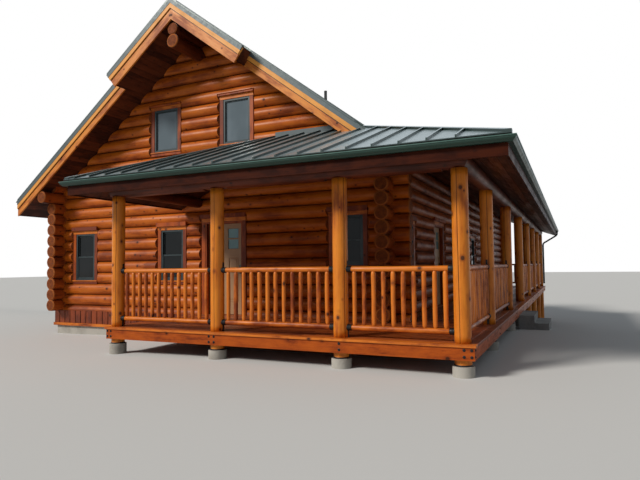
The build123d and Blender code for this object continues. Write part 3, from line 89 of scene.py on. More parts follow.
class Net:
    """Places nodes in one tree and joins them."""

    def __init__(self, tree):
        self.tree = tree

    def put(self, kind, ins=None, **settings):
        """A new node. Each of its inputs is joined to a socket, or set to a number or colour."""
        node = self.tree.nodes.new(kind)
        for name, value in settings.items():
            setattr(node, name, value)
        for name, value in (ins or {}).items():
            socket = node.inputs[name]
            if isinstance(value, bpy.types.NodeSocket):
                self.tree.links.new(value, socket)
            else:
                socket.default_value = (*value, 1) if socket.type == "RGBA" else value
        return node

    def math(self, operation, a, b=0.0):
        return self.put("ShaderNodeMath", {0: a, 1: b}, operation=operation).outputs[0]

    def plus(self, a, b):
        return self.math("ADD", a, b)

    def minus(self, a, b):
        return self.math("SUBTRACT", a, b)

    def times(self, a, b):
        return self.math("MULTIPLY", a, b)

    def gap(self, a, b):
        return self.math("ABSOLUTE", self.minus(a, b))

    def band(self, value, low, high, out_low=0.0, out_high=1.0):
        """Value carried from low..high to out_low..out_high, smoothly and clamped."""
        ins = {"Value": value, 1: low, 2: high, 3: out_low, 4: out_high}
        return self.put("ShaderNodeMapRange", ins, interpolation_type="SMOOTHSTEP").outputs[0]

    def mix(self, factor, a, b, blend="MIX"):
        ins = {0: factor, 6: a, 7: b}
        return self.put("ShaderNodeMix", ins, data_type="RGBA", blend_type=blend).outputs[2]

    def noise(self, vector, scale, detail=3.0, rough=0.55, distortion=0.0):
        ins = {"Vector": vector, "Scale": scale, "Detail": detail}
        ins.update({"Roughness": rough, "Distortion": distortion})
        return self.put("ShaderNodeTexNoise", ins).outputs["Fac"]

    def vector(self, operation, a, ins=None):
        return self.put("ShaderNodeVectorMath", {0: a, **(ins or {})}, operation=operation).outputs

    def stretch(self, vector, scale):
        return self.vector("MULTIPLY", vector, {1: scale})[0]

    def split(self, vector):
        return self.put("ShaderNodeSeparateXYZ", {0: vector}).outputs

    def join(self, x, y, z):
        return self.put("ShaderNodeCombineXYZ", {0: x, 1: y, 2: z}).outputs[0]

    def group(self, tree, **ins):
        """A placed node group with its own values. Returns its outputs."""
        return self.put("ShaderNodeGroup", ins, node_tree=tree).outputs


FLOAT, COLOUR, VECTOR = "NodeSocketFloat", "NodeSocketColor", "NodeSocketVector"


def new_group(name, inputs, outputs):
    """A shader node group with named sockets. Returns its Net and its input sockets."""
    tree = bpy.data.node_groups.new(name, "ShaderNodeTree")
    for way, sockets in (("INPUT", inputs), ("OUTPUT", outputs)):
        for kind, labels in sockets:
            for label in labels.split():
                tree.interface.new_socket(label, in_out=way, socket_type=kind)
    net = Net(tree)
    return net, net.put("NodeGroupInput").outputs


# Dark colours in wood: a knot's own dark heart, and painted shade in drying checks, end splits and the seams
# between logs
KNOT_HEART = (0.022, 0.008, 0.004)
CHECK_SHADE = (0.02, 0.007, 0.003)
SPLIT_SHADE = (0.03, 0.01, 0.004)
SEAM_SHADE = (0.035, 0.009, 0.004)


def make_log_figure():
    """Stained softwood: grain along X, knots with dark rings, long drying checks, blotchy stain."""
    inputs = (VECTOR, "Place"), (COLOUR, "Light Middle Dark"), (FLOAT, "Tone Knots Checks Fineness")
    net, given = new_group("log_figure", inputs, ((COLOUR, "Color"), (FLOAT, "Roughness Height")))
    place = given["Place"]
    sized = net.vector("SCALE", place, {"Scale": given["Fineness"]})[0]
    grain = net.noise(net.stretch(sized, (1.2, 26, 26)), 1.0, 5, 0.6, 0.4)
    fibres = net.noise(net.stretch(sized, (4.0, 190, 190)), 1.0, 3, 0.6)
    blotches = net.noise(net.stretch(sized, (0.9, 2.2, 2.2)), 1.6, 4, 0.6)
    figure = net.plus(net.times(grain, 0.30), net.times(blotches, 0.70))
    figure = net.plus(figure, net.times(net.minus(given["Tone"], 0.5), 0.5))
    colour = net.mix(net.band(figure, 0.36, 0.56), given["Dark"], given["Middle"])
    colour = net.mix(net.band(figure, 0.44, 0.72), colour, given["Light"])
    shade = net.band(fibres, 0.3, 0.7, 0.88, 1.08)
    colour = net.mix(1.0, colour, net.join(shade, shade, shade), "MULTIPLY")
    # knots
    ins = {"Vector": net.stretch(place, (5.4, 6.6, 6.6)), "Scale": 1.0, "Randomness": 1.0}
    cells = net.put("ShaderNodeTexVoronoi", ins).outputs
    pick = net.split(cells["Color"])
    chosen = net.math("LESS_THAN", pick[0], net.times(given["Knots"], 0.62))
    radius = net.plus(net.times(pick[1], 0.09), 0.09)
    reach = net.math("DIVIDE", cells["Distance"], radius)
    heart = net.times(net.band(reach, 1.25, 0.7), chosen)
    halo = net.times(net.band(reach, 2.3, 1.0), chosen)
    colour = net.mix(net.times(halo, 0.55), colour, given["Dark"])
    colour = net.mix(net.times(heart, 0.85), colour, KNOT_HEART)
    # drying checks, darkened with painted shade inside the cracks
    lines = net.noise(net.stretch(sized, (0.32, 17, 17)), 1.0, 1.5, 0.4, 0.25)
    where = net.noise(net.stretch(sized, (0.5, 2.0, 2.0)), 1.7, 1)
    opened = net.times(net.minus(1.0, net.band(where, 0.62, 0.45)), given["Checks"])
    check = net.times(net.band(net.gap(lines, 0.52), 0.012, 0.003), opened)
    colour = net.mix(net.times(check, 0.9), colour, CHECK_SHADE)
    rough = net.plus(net.band(figure, 0.35, 0.7, 0.52, 0.34), net.times(heart, 0.15))
    height = net.plus(net.times(grain, 0.35), net.times(fibres, 0.12))
    height = net.minus(height, net.times(check, 1.4))
    height = net.plus(height, net.times(heart, 0.25))
    net.put("NodeGroupOutput", {"Color": colour, "Roughness": rough, "Height": height})
    return net.tree


def make_end_grain():
    """The sawn end of a log: growth rings and radial checks round its heart."""
    inputs = (FLOAT, "Across Up Seed"), (COLOUR, "Light Dark")
    net, given = new_group("end_grain", inputs, ((COLOUR, "Color"), (FLOAT, "Height")))
    across, up, seed = given["Across"], given["Up"], given["Seed"]
    spot = net.join(across, up, seed)
    wobble = net.times(net.noise(spot, 9.0, 2), 0.03)
    away = net.vector("LENGTH", net.stretch(spot, (1, 1, 0)))["Value"]
    rings = net.math("SINE", net.times(net.plus(away, wobble), 900.0))
    angle = net.math("ARCTAN2", up, across)
    rays = net.noise(net.join(net.times(angle, 3.0), seed, 0.0), 2.0, 3)
    # radial checks, darkened with painted shade inside the cracks
    split = net.times(net.band(net.gap(rays, 0.5), 0.012, 0.003), net.band(away, 0.02, 0.06))
    tone = net.plus(net.times(rings, 0.12), 0.6)
    tone = net.plus(tone, net.times(net.minus(net.noise(spot, 14.0, 4), 0.5), 0.9))
    colour = net.mix(net.band(tone, 0.2, 1.0), given["Dark"], given["Light"])
    colour = net.mix(net.times(split, 0.8), colour, SPLIT_SHADE)
    height = net.minus(net.times(rings, 0.1), split)
    net.put("NodeGroupOutput", {"Color": colour, "Height": height})
    return net.tree


def make_weathering():
    """Uneven dulling: a slow mask for water marks and dust."""
    inputs = (VECTOR, "Place"), (FLOAT, "Size Amount")
    net, given = new_group("weathering", inputs, ((FLOAT, "Mask Fine"),))
    slow = net.noise(given["Place"], given["Size"], 5, 0.62)
    fine = net.noise(given["Place"], net.times(given["Size"], 14.0), 4, 0.6)
    mask = net.times(net.band(slow, 0.42, 0.7), given["Amount"])
    net.put("NodeGroupOutput", {"Mask": mask, "Fine": fine})
    return net.tree


LOG_FIGURE = make_log_figure()
END_GRAIN = make_end_grain()
WEATHERING = make_weathering()


def surface(name, roughness=0.5, gloss=0.5, metallic=0.0, coat=0.0, coat_roughness=0.03):
    """A new material's Net, with its shader, place and normal. The values given are even all over."""
    material = bpy.data.materials.new(name)
    material.use_nodes = True
    net = Net(material.node_tree)
    net.material = material
    net.shader = next(n for n in net.tree.nodes if n.type == "BSDF_PRINCIPLED").inputs
    net.shader["Roughness"].default_value = roughness
    net.shader["Specular IOR Level"].default_value = gloss
    net.shader["Metallic"].default_value = metallic
    net.shader["Coat Weight"].default_value = coat
    net.shader["Coat Roughness"].default_value = coat_roughness
    coordinates = net.put("ShaderNodeTexCoord").outputs
    net.place, net.normal = coordinates["Object"], coordinates["Normal"]
    return net


def finished(net, colour, rough=None, height=None, strength=0.4, depth=0.01):
    """Joins what changes over the surface to the shader, and returns the material."""
    net.tree.links.new(colour, net.shader["Base Color"])
    if rough is not None:
        net.tree.links.new(rough, net.shader["Roughness"])
    if height is not None:
        bump = net.put("ShaderNodeBump", {"Strength": strength, "Distance": depth, "Height": height})
        net.tree.links.new(bump.outputs[0], net.shader["Normal"])
    return net.material


def wood(net, place, stains, knots, checks, tone, fineness):
    """The log figure in a material's own stains: light, middle and dark."""
    light, middle, dark = stains
    return net.group(
        LOG_FIGURE,
        Place=place,
        Light=light,
        Middle=middle,
        Dark=dark,
        Knots=knots,
        Checks=checks,
        Tone=tone,
        Fineness=fineness,
    )


def turned(net, axis):
    """The place with its coordinate along the grain first. XY boards lie along the wall they face."""
    if axis == "X":
        return net.place
    x, y, z = net.split(net.place)
    if axis == "Z":
        return net.join(z, x, y)
    along_y = net.join(y, x, z)
    if axis == "Y":
        return along_y
    facing = net.band(net.math("ABSOLUTE", net.split(net.normal)[1]), 0.6, 0.8)
    return net.put("ShaderNodeMix", {0: facing, 4: along_y, 5: net.place}, data_type="VECTOR").outputs[1]


# Sawn ends: light and dark rings, and the worked edge
WALL_END_LIGHT, WALL_END_DARK = (0.36, 0.095, 0.020), (0.16, 0.036, 0.009)
END_LIGHT, END_DARK, END_EDGE = (0.27, 0.066, 0.012), (0.12, 0.026, 0.006), (0.40, 0.115, 0.020)


def log_wall(name, axis, base, hearts, stains):
    """Stained wall logs: a tone of its own for each course, end grain where logs are sawn off, and painted
    shade along the seams where the courses meet.

    base is the height of a bed, and hearts where the logs' hearts lie across the wall."""
    net = surface(name, gloss=0.18, coat=0.02, coat_roughness=0.35)
    x, y, z = net.split(net.place)
    along, across = (x, y) if axis == "X" else (y, x)
    course = net.math("FLOOR", net.math("DIVIDE", net.minus(z, base), COURSE))
    own = net.put("ShaderNodeTexWhiteNoise", {"W": net.times(course, 1.37)}, noise_dimensions="1D")
    tone = net.band(own.outputs[0], 0.0, 1.0, 0.47, 0.64)
    start = net.plus(along, net.times(course, 5.3))
    figure = wood(net, net.join(start, across, z), stains, 0.8, 0.55, tone, 1.0)
    nearest = net.gap(across, hearts[0])
    for heart in hearts[1:]:
        nearest = net.math("MINIMUM", nearest, net.gap(across, heart))
    heart_z = net.plus(net.times(net.plus(course, 0.5), COURSE), base)
    rise = net.minus(z, heart_z)
    shades = {"Light": WALL_END_LIGHT, "Dark": WALL_END_DARK}
    ends = net.group(END_GRAIN, Across=nearest, Up=rise, Seed=course, **shades)
    facing = net.split(net.normal)[0 if axis == "X" else 1]
    sawn = net.band(net.math("ABSOLUTE", facing), 0.75, 0.9)
    # Painted shade: each log darkens towards its seams with the courses above and below
    rise = net.math("DIVIDE", net.math("ABSOLUTE", rise), COURSE / 2)
    peeled = net.mix(net.band(rise, 0.80, 1.0, 0.0, 0.75), figure["Color"], SEAM_SHADE)
    colour = net.mix(sawn, peeled, ends["Color"])
    height = net.put("ShaderNodeMix", {0: sawn, 2: figure["Height"], 3: ends["Height"]}).outputs[0]
    return finished(net, colour, figure["Roughness"], height, 0.35, 0.012)


def stained_wood(
    name, axis, stains, knots=0.5, checks=0.1, tone=0.5, fineness=1.0, spread=0.0, shine=0.25
):
    """Stained timber with its grain along one axis. Spread is the pieces' difference in tone."""
    net = surface(name, gloss=shine, coat=shine / 5, coat_roughness=0.3)
    along = turned(net, axis)
    if spread:
        own = net.put("ShaderNodeNewGeometry").outputs["Random Per Island"]
        shift = net.times(own, 37.0)
        along = net.vector("ADD", along, {1: net.join(shift, own, shift)})[0]
        tone = net.band(own, 0.0, 1.0, tone - spread, tone + spread)
    figure = wood(net, along, stains, knots, checks, tone, fineness)
    return finished(net, figure["Color"], figure["Roughness"], figure["Height"], 0.35, 0.01)


def rake_wood(name, stains, trim):
    """Boards that follow the roof's slope, with a paler trim board along their upper edge."""
    net = surface(name, gloss=0.25)
    x, y, z = net.split(net.place)
    slope = atan(ROOF_PITCH)
    aside = net.gap(x, RIDGE_X)
    along = net.minus(net.times(aside, cos(slope)), net.times(z, sin(slope)))
    across = net.plus(net.times(aside, sin(slope)), net.times(z, cos(slope)))
    figure = wood(net, net.join(along, across, y), stains, 0.4, 0.1, 0.5, 1.4)
    drop = net.minus(RIDGE_TOP, net.plus(z, net.times(aside, ROOF_PITCH)))
    tint = net.mix(net.band(drop, 0.223, 0.219, 0.0, 0.6), figure["Color"], trim)
    return finished(net, tint, figure["Roughness"], figure["Height"], 0.35, 0.01)


def sawn_ends(name):
    """Log ends: growth rings round each heart, and a paler worked edge."""
    net = surface(name, roughness=0.6, gloss=0.12)
    heart = net.put("ShaderNodeAttribute", attribute_name="heart_place").outputs["Vector"]
    across, up, seed = net.split(heart)
    ends = net.group(END_GRAIN, Across=across, Up=up, Seed=seed, Light=END_LIGHT, Dark=END_DARK)
    away = net.vector("LENGTH", net.join(across, up, 0.0))["Value"]
    tint = net.mix(net.band(away, 0.112, 0.124, 0.0, 0.8), ends["Color"], END_EDGE)
    return finished(net, tint, None, ends["Height"], 0.4, 0.006)


def painted_metal(name, colour, pale, roughness, metallic, size=0.7, amount=0.5):
    """Factory-painted sheet with a slow unevenness and a little dust."""
    net = surface(name, metallic=metallic)
    wear = net.group(WEATHERING, Place=net.place, Size=size, Amount=amount)
    tint = net.mix(wear["Mask"], colour, pale)
    rough = net.band(wear["Fine"], 0.3, 0.7, roughness - 0.05, roughness + 0.09)
    return finished(net, tint, rough, wear["Fine"], 0.06, 0.004)


def seamed_roof(name, colour, pale, painted_seam_shade):
    """Glossy painted pans between seams whose upright sides are painted dark as shade."""
    net = surface(name, metallic=0.35, coat=0.5, coat_roughness=0.22)
    wear = net.group(WEATHERING, Place=net.stretch(net.place, (1.0, 1.0, 0.4)), Size=0.3, Amount=0.7)
    upright = net.band(net.split(net.normal)[2], 0.72, 0.5)
    tint = net.mix(upright, net.mix(wear["Mask"], colour, pale), painted_seam_shade)
    return finished(net, tint, net.band(wear["Fine"], 0.3, 0.7, 0.30, 0.38))


def concrete(name, colour, dark):
    """Cast concrete: cloudy, pitted, a little stained."""
    net = surface(name, roughness=0.88)
    wear = net.group(WEATHERING, Place=net.place, Size=2.2, Amount=0.9)
    pits = net.noise(net.place, 60.0, 3)
    tint = net.mix(wear["Mask"], colour, dark)
    tint = net.mix(net.band(pits, 0.66, 0.75, 0.0, 0.5), tint, dark)
    height = net.minus(wear["Fine"], net.band(pits, 0.64, 0.74))
    return finished(net, tint, None, height, 0.5, 0.006)


def window_pane(name, colour, pale, gloss=0.35):
    """Glass before a dark room: a glossy pane with a painted colour, in patches of a paler painted
    reflection. A dark colour is painted shade of the room; a pale one is painted reflection.
    """
    net = surface(name, roughness=0.07, gloss=gloss)
    reflection_patches = net.noise(net.stretch(net.place, (0.7, 0.7, 0.5)), 1.4, 3)
    return finished(net, net.mix(net.band(reflection_patches, 0.35, 0.65), colour, pale))


# Stains, each light, middle and dark

FRONT_WALL_STAINS = (0.54, 0.135, 0.011), (0.40, 0.082, 0.006), (0.20, 0.034, 0.004)
SIDE_WALL_STAINS = (0.40, 0.090, 0.012), (0.27, 0.052, 0.008), (0.11, 0.020, 0.005)
POST_STAINS = (0.72, 0.235, 0.020), (0.58, 0.160, 0.012), (0.24, 0.042, 0.006)
# Beam and ridge logs: a stain darkened well below the posts', partly the logs' own stain and partly painted
# shade from the roofs over them
BEAM_STAINS_AND_SHADE = (0.15, 0.027, 0.006), (0.10, 0.017, 0.004), (0.05, 0.009, 0.003)
RAIL_STAINS = (0.68, 0.195, 0.020), (0.50, 0.120, 0.012), (0.20, 0.035, 0.006)
TRIM_STAINS = (0.44, 0.090, 0.010), (0.33, 0.060, 0.007), (0.16, 0.026, 0.005)
PALE_STAINS = (0.74, 0.275, 0.045), (0.60, 0.190, 0.028), (0.30, 0.070, 0.012)
# Fascia and joist boards: a brown stain made darker still, partly their own stain and partly painted shade
# under the gutters
BROWN_STAINS_AND_SHADE = (0.058, 0.012, 0.004), (0.042, 0.008, 0.003), (0.020, 0.004, 0.002)
DECK_STAINS = (0.46, 0.108, 0.024), (0.34, 0.072, 0.016), (0.15, 0.030, 0.009)
SOFFIT_STAINS = (0.13, 0.034, 0.014), (0.085, 0.022, 0.010), (0.04, 0.012, 0.007)
SKIRT_STAINS = (0.27, 0.052, 0.012), (0.20, 0.036, 0.008), (0.10, 0.017, 0.005)
# Near black, for painted shade: inside the posts' checks, behind the skirt boards and under the rake trims
DEEP_SHADE_COLOURS = (0.045, 0.012, 0.006), (0.03, 0.008, 0.004), (0.01, 0.004, 0.002)
ROOM_STAINS = (0.5, 0.3, 0.14), (0.38, 0.2, 0.09), (0.2, 0.1, 0.04)

FRONT_BASE = FLOOR + COURSE / 2
SIDE_HEARTS = [RIDGE_X - WALL_X, RIDGE_X + WALL_X]
LOGS_FRONT = log_wall("wall_logs_front", "X", FRONT_BASE, [WALL_Y, REAR_Y], FRONT_WALL_STAINS)
LOGS_SIDE = log_wall("wall_logs_side", "Y", FLOOR, SIDE_HEARTS, SIDE_WALL_STAINS)
SAWN_ENDS = sawn_ends("sawn_log_ends")

# Knots, drying checks, tone, fineness, and where pieces differ their spread
POST_WOOD = stained_wood("post_logs", "Z", POST_STAINS, 0.9, 0.6, 0.66)
BEAM_X_WOOD = stained_wood("beam_logs_front", "X", BEAM_STAINS_AND_SHADE, 0.5, 0.6)
BEAM_Y_WOOD = stained_wood("beam_logs_side", "Y", BEAM_STAINS_AND_SHADE, 0.5, 0.6)
RAIL_X_WOOD = stained_wood("rails_front", "X", RAIL_STAINS, 0.6, 0.5, 0.58, 2.0, 0.2)
RAIL_Y_WOOD = stained_wood("rails_side", "Y", RAIL_STAINS, 0.6, 0.5, 0.45, 2.0, 0.2)
BALUSTER_WOOD = stained_wood("balusters", "Z", RAIL_STAINS, 0.7, 0.2, 0.6, 2.0, 0.22)
RAIL_END_WOOD = stained_wood("rail_ends", "Z", RAIL_STAINS, 0.0, 0.5, 0.5, 3.0)
RIM_WOOD = stained_wood("rim_boards", "XY", TRIM_STAINS, 0.6, 0.15, 0.58, 1.6, shine=0.12)
FASCIA_WOOD = stained_wood("fascia_boards", "XY", BROWN_STAINS_AND_SHADE, 0.5, 0.1, 0.5, 1.6, shine=0.05)
CASING_WOOD = stained_wood("casing_boards", "Z", TRIM_STAINS, 0.3, 0.1, 0.4, 1.6, 0.2)
CASING_EDGE_WOOD = stained_wood("casing_pale_boards", "XY", RAIL_STAINS, 0.3, 0.1, 0.6, 1.6, 0.1)
RAKE_WOOD = rake_wood("rake_boards", PALE_STAINS, (0.84, 0.40, 0.085))
DECK_X_WOOD = stained_wood("deck_boards_x", "X", DECK_STAINS, 0.4, 0.1, 0.5, 1.8, 0.25)
DECK_Y_WOOD = stained_wood("deck_boards_y", "Y", DECK_STAINS, 0.4, 0.1, 0.5, 1.8, 0.25)
NOSING_WOOD = stained_wood("deck_nosing", "X", RAIL_STAINS, 0.3, 0.1, 0.62, 1.8)
SOFFIT_WOOD = stained_wood("soffit_boards_y", "Y", SOFFIT_STAINS, 0.5, 0.1, 0.5, 1.4, 0.2, 0.1)
SOFFIT_X_WOOD = stained_wood("soffit_boards_x", "X", SOFFIT_STAINS, 0.5, 0.1, 0.5, 1.4, 0.2, 0.1)
SKIRT_WOOD = stained_wood("skirt_planks", "Z", SKIRT_STAINS, 0.3, 0.1, 0.5, 1.6, 0.1)
SKIRT_TRIM_WOOD = stained_wood("skirt_trim", "XY", RAIL_STAINS, 0.3, 0.1, 0.6, 1.6)
# A finish of painted shade
DEEP_SHADE_WOOD = stained_wood("deep_shade", "Z", DEEP_SHADE_COLOURS, 0.5, 0.5)
ROOM_WOOD = stained_wood("floor_boards", "Y", ROOM_STAINS, 0.3, 0.1, 0.5, 1.4)

# Two colours that mix unevenly; for painted metal also its roughness and metallic share
# The roof's third colour is painted shade on the seams' upright sides
ROOF_METAL = seamed_roof("seamed_roof_metal", (0.20, 0.26, 0.27), (0.28, 0.345, 0.36), (0.012, 0.030, 0.026))
TRIM_METAL = painted_metal("rake_metal", (0.060, 0.080, 0.086), (0.08, 0.105, 0.11), 0.45, 0.2)
GUTTER_METAL = painted_metal("gutter_green_metal", (0.010, 0.036, 0.025), (0.02, 0.055, 0.04), 0.36, 0.2)
# The gutter's top roll is made paler as a painted highlight
GUTTER_LIP_HIGHLIGHT = painted_metal("gutter_lip_painted_highlight", (0.05, 0.105, 0.085), (0.07, 0.13, 0.11), 0.33, 0.3)
DOWNSPOUT_METAL = painted_metal("downspout_metal", (0.02, 0.026, 0.024), (0.04, 0.05, 0.045), 0.4, 0.2)
BLACK_METAL = painted_metal("black_collar_metal", (0.010, 0.010, 0.012), (0.03, 0.03, 0.03), 0.42, 0.5)
FRAME_METAL = painted_metal("window_frames", (0.014, 0.026, 0.029), (0.03, 0.042, 0.045), 0.4, 0.1)
DOOR_PAINT = painted_metal("tan_door_paint", (0.36, 0.20, 0.095), (0.42, 0.245, 0.12), 0.45, 0.0, 1.5, 0.4)
KNOB_METAL = painted_metal("door_hardware", (0.09, 0.075, 0.06), (0.14, 0.12, 0.10), 0.3, 0.85)
VENT_BLACK = painted_metal("vent_pipe", (0.02, 0.022, 0.024), (0.05, 0.05, 0.05), 0.6, 0.0)
CONCRETE = concrete("cast_concrete", (0.40, 0.38, 0.34), (0.26, 0.24, 0.21))
STEP_CONCRETE = concrete("step_concrete", (0.26, 0.26, 0.255), (0.16, 0.155, 0.15))
# Low panes dark as painted shade of the room behind; upper and door panes pale as painted reflection
LOWER_GLASS = window_pane("window_glass_low", (0.008, 0.009, 0.009), (0.015, 0.016, 0.016), 0.2)
UPPER_GLASS_REFLECTION = window_pane("window_glass_high", (0.10, 0.13, 0.15), (0.16, 0.20, 0.23))
DOOR_GLASS_REFLECTION = window_pane("door_glass", (0.09, 0.20, 0.30), (0.17, 0.34, 0.36))

FINISHES = {
    LOGS_FRONT: "front_wall_left front_wall_right front_gable rear_wall rear_gable",
    LOGS_SIDE: "left_wall right_wall_front right_wall_rear right_wall_top corner_log_ends",
    POST_WOOD: "porch_posts post_legs",
    BEAM_X_WOOD: "porch_beam_front",
    BEAM_Y_WOOD: "porch_beams_side ridge_logs",
    RAIL_X_WOOD: "railings_front",
    RAIL_Y_WOOD: "railings_side",
    RAKE_WOOD: "barge_boards",
    RIM_WOOD: "deck_rims",
    CASING_WOOD: "front_door_frame side_door_frame casings",
    FASCIA_WOOD: "fascia_boards deck_joists",
    DECK_X_WOOD: "deck_front",
    DECK_Y_WOOD: "deck_side",
    SKIRT_WOOD: "skirt_boards",
    SOFFIT_WOOD: "main_roof_left main_roof_right",
    SOFFIT_X_WOOD: "porch_roof_front porch_roof_right porch_roof_left",
    ROOM_WOOD: "main_floor loft_floor",
    ROOF_METAL: "main_metal_left main_metal_right porch_metal roof_caps",
    TRIM_METAL: "rake_metal wall_flashing",
    GUTTER_METAL: "gutters",
    BLACK_METAL: "rail_brackets",
    FRAME_METAL: "window_frames",
    DOOR_PAINT: "front_door_leaf side_door_leaf",
    KNOB_METAL: "front_door_knobs side_door_knobs",
    VENT_BLACK: "vent_pipe",
    CONCRETE: "foundation piers",
    STEP_CONCRETE: "entry_steps",
    LOWER_GLASS: "window_glass",
    DOOR_GLASS_REFLECTION: "front_door_glass side_door_glass",
}

for material, nodes in FINISHES.items():
    for node in nodes.split():
        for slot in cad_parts[node].material_slots:
            slot.material = material


# Mesh helpers: every part is added to one mesh with the number of its finish


def pairs(row):
    return list(zip(row[:-1], row[1:]))


def drawn(x, y, z=0.0):
    """A point given from the ridge line, the front wall's axis and the floor."""
    return Vector((RIDGE_X + x, WALL_Y + y, FLOOR + z))


def ring(mesh, centre, side, up, points):
    """New points round a centre, given as (angle, radius)."""
    return [mesh.verts.new(centre + side * (r * cos(a)) + up * (r * sin(a))) for a, r in points]


def span(mesh, low, high):
    """Faces from one row of points to the next, all round."""
    after = low[1:] + low[:1], high[1:] + high[:1]
    return [mesh.faces.new((a, b, c, d)) for a, b, c, d in zip(low, after[0], after[1], high)]


def skin(mesh, rings, finish=0, cap=None, crack=None):
    """Smooth walls between neighbouring rings, and a flat face at each end."""
    for low, high in pairs(rings):
        for i, face in enumerate(span(mesh, low, high)):
            face.smooth = True
            face.material_index = crack if crack is not None and i in (0, len(low) - 1) else finish
    for end in (rings[0][::-1], rings[-1]):
        mesh.faces.new(end).material_index = finish if cap is None else cap


def add_turning(mesh, centre, axis, side, up, sides, walls):
    """A turned form, its walls given as (distance along the axis, radius)."""
    angles = [tau * i / sides for i in range(sides)]
    skin(mesh, [ring(mesh, centre + axis * far, side, up, [(a, r) for a in angles]) for far, r in walls])


def add_log(mesh, start, end, profile, seed, sides, finish, cap, bow, lobes):
    """A peeled log from start to end: profile gives (distance, radius), and it is never quite true."""
    rng = random.Random(seed)
    along = end - start
    length = along.length
    along.normalize()
    side = along.orthogonal().normalized()
    up = along.cross(side)
    lean = rng.uniform(0, tau)
    drift = side * cos(lean) + up * sin(lean)
    phases = [rng.uniform(0, tau) for _ in range(3)]
    rings = []
    for distance, radius in profile:
        share = distance / length
        centre = start + along * distance + drift * (bow * sin(pi * share))
        points = []
        for i in range(sides):
            a = tau * i / sides
            wave = sin(2 * a + phases[0] + 3 * share) + 0.6 * sin(3 * a + phases[1] - 5 * share)
            points.append((a, radius * (1 + lobes * 0.5 * wave + lobes * 0.4 * sin(7 * share + phases[2]))))
        rings.append(ring(mesh, centre, side, up, points))
    skin(mesh, rings, finish, cap)


def add_block(mesh, rows, finish=0):
    """A six-sided block from two rows of four corners, each running round the same way."""
    low, high = ([mesh.verts.new(p) for p in row] for row in rows)
    for face in [mesh.faces.new(low[::-1]), mesh.faces.new(high)] + span(mesh, low, high):
        face.material_index = finish


def rectangle(place, left, right, bottom, top, out, grow=0.0):
    """Corners of a rectangle at a distance out of a wall. A place is an origin, the way right and out."""
    origin, across, outward = place
    left, right, bottom, top = left - grow, right + grow, bottom - grow, top + grow
    corners = (left, bottom), (right, bottom), (right, top), (left, top)
    return [origin + across * x + UP * z + outward * out for x, z in corners]


def add_board(mesh, place, left, right, bottom, top, back, front, finish=0):
    """A board on a wall place."""
    add_block(mesh, [rectangle(place, left, right, bottom, top, out) for out in (back, front)], finish)


def add_plank(mesh, x0, x1, y0, y1, z0, z1, finish=0):
    """An upright block in the building's own directions."""
    add_block(mesh, [[(x0, y0, z), (x1, y0, z), (x1, y1, z), (x0, y1, z)] for z in (z0, z1)], finish)


def soften(mesh, width):
    """Eases every edge of the mesh."""
    mesh.normal_update()
    bmesh.ops.recalc_face_normals(mesh, faces=mesh.faces)
    edges = list(mesh.edges)
    bmesh.ops.bevel(mesh, geom=edges, offset=width, segments=1, affect="EDGES", clamp_overlap=True)


def add_object(name, mesh, finishes):
    data = bpy.data.meshes.new(name)
    mesh.to_mesh(data)
    mesh.free()
    for material in finishes:
        data.materials.append(material)
    made = bpy.data.objects.new(name, data)
    bpy.context.scene.collection.objects.link(made)
    return made


def make_piece(name, mesh, finishes, stands_for=None, body="house"):
    """Turns a mesh into a piece that rides on a body, and may stand for a node of the model."""
    bmesh.ops.recalc_face_normals(mesh, faces=mesh.faces)
    piece = add_object(name, mesh, finishes)
    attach(piece, body)
    if stands_for:
        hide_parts(stands_for)


# Railings: peeled rails in black collars, and balusters with rounded shoulders

RAIL_R = 0.0415
RAIL_LOW, RAIL_HIGH = 0.15, 1.0255
RAIL_STEP, RAIL_EASE = 0.3, 0.01
BALUSTER_R = 0.0345
BALUSTER_PITCH = 0.152
SHOULDER = (0.008, 0.78), (0.022, 0.93), (0.05, 1.0)
END_MARGIN = 0.045
COLLAR_LENGTH = 0.06

FRONT_PLACES = [Vector((x, POST_Y, FLOOR)) for x in FRONT_POSTS]
SIDE_PLACES = [Vector((POST_X, y, FLOOR)) for y in [POST_Y] + SIDE_POSTS + REAR_POSTS]
REAR_END = Vector((RIDGE_X + WALL_X + LOG_TAIL - POST_R, REAR_Y, FLOOR))
FRONT_BAYS = pairs(FRONT_PLACES)
SIDE_BAYS = pairs(SIDE_PLACES)
SIDE_BAYS = SIDE_BAYS[:2] + SIDE_BAYS[3:] + [(SIDE_PLACES[-1], REAR_END)]
ALL_PLACES = FRONT_PLACES + SIDE_PLACES[1:]


def add_rail(mesh, start, end, seed):
    length = (end - start).length
    steps = max(6, round(length / RAIL_STEP))
    rng = random.Random(seed)
    profile = [(0, RAIL_R * 0.9), (RAIL_EASE, RAIL_R * 0.97)]
    profile += [(length * i / steps, RAIL_R * rng.uniform(0.95, 1.03)) for i in range(1, steps)]
    profile += [(length - RAIL_EASE, RAIL_R * 0.97), (length, RAIL_R * 0.9)]
    add_log(mesh, start, end, profile, seed, sides=20, finish=0, cap=2, bow=0.003, lobes=0.03)


def add_baluster(mesh, foot, seed):
    rng = random.Random(seed)
    radius = BALUSTER_R * rng.uniform(0.94, 1.06)
    length = RAIL_HIGH - RAIL_LOW
    tenon = RAIL_R * 0.85
    profile = [(0, radius * 0.55), (tenon, radius * 0.58)]
    profile += [(tenon + step, radius * share) for step, share in SHOULDER]
    profile += [(length * share, radius * rng.uniform(0.95, 1.04)) for share in (0.25, 0.45, 0.65, 0.82)]
    profile += [(length - tenon - step, radius * share) for step, share in SHOULDER[::-1]]
    profile += [(length - tenon, radius * 0.58), (length, radius * 0.55)]
    head = foot + UP * length
    add_log(mesh, foot, head, profile, seed, sides=12, finish=1, cap=None, bow=0.004, lobes=0.05)


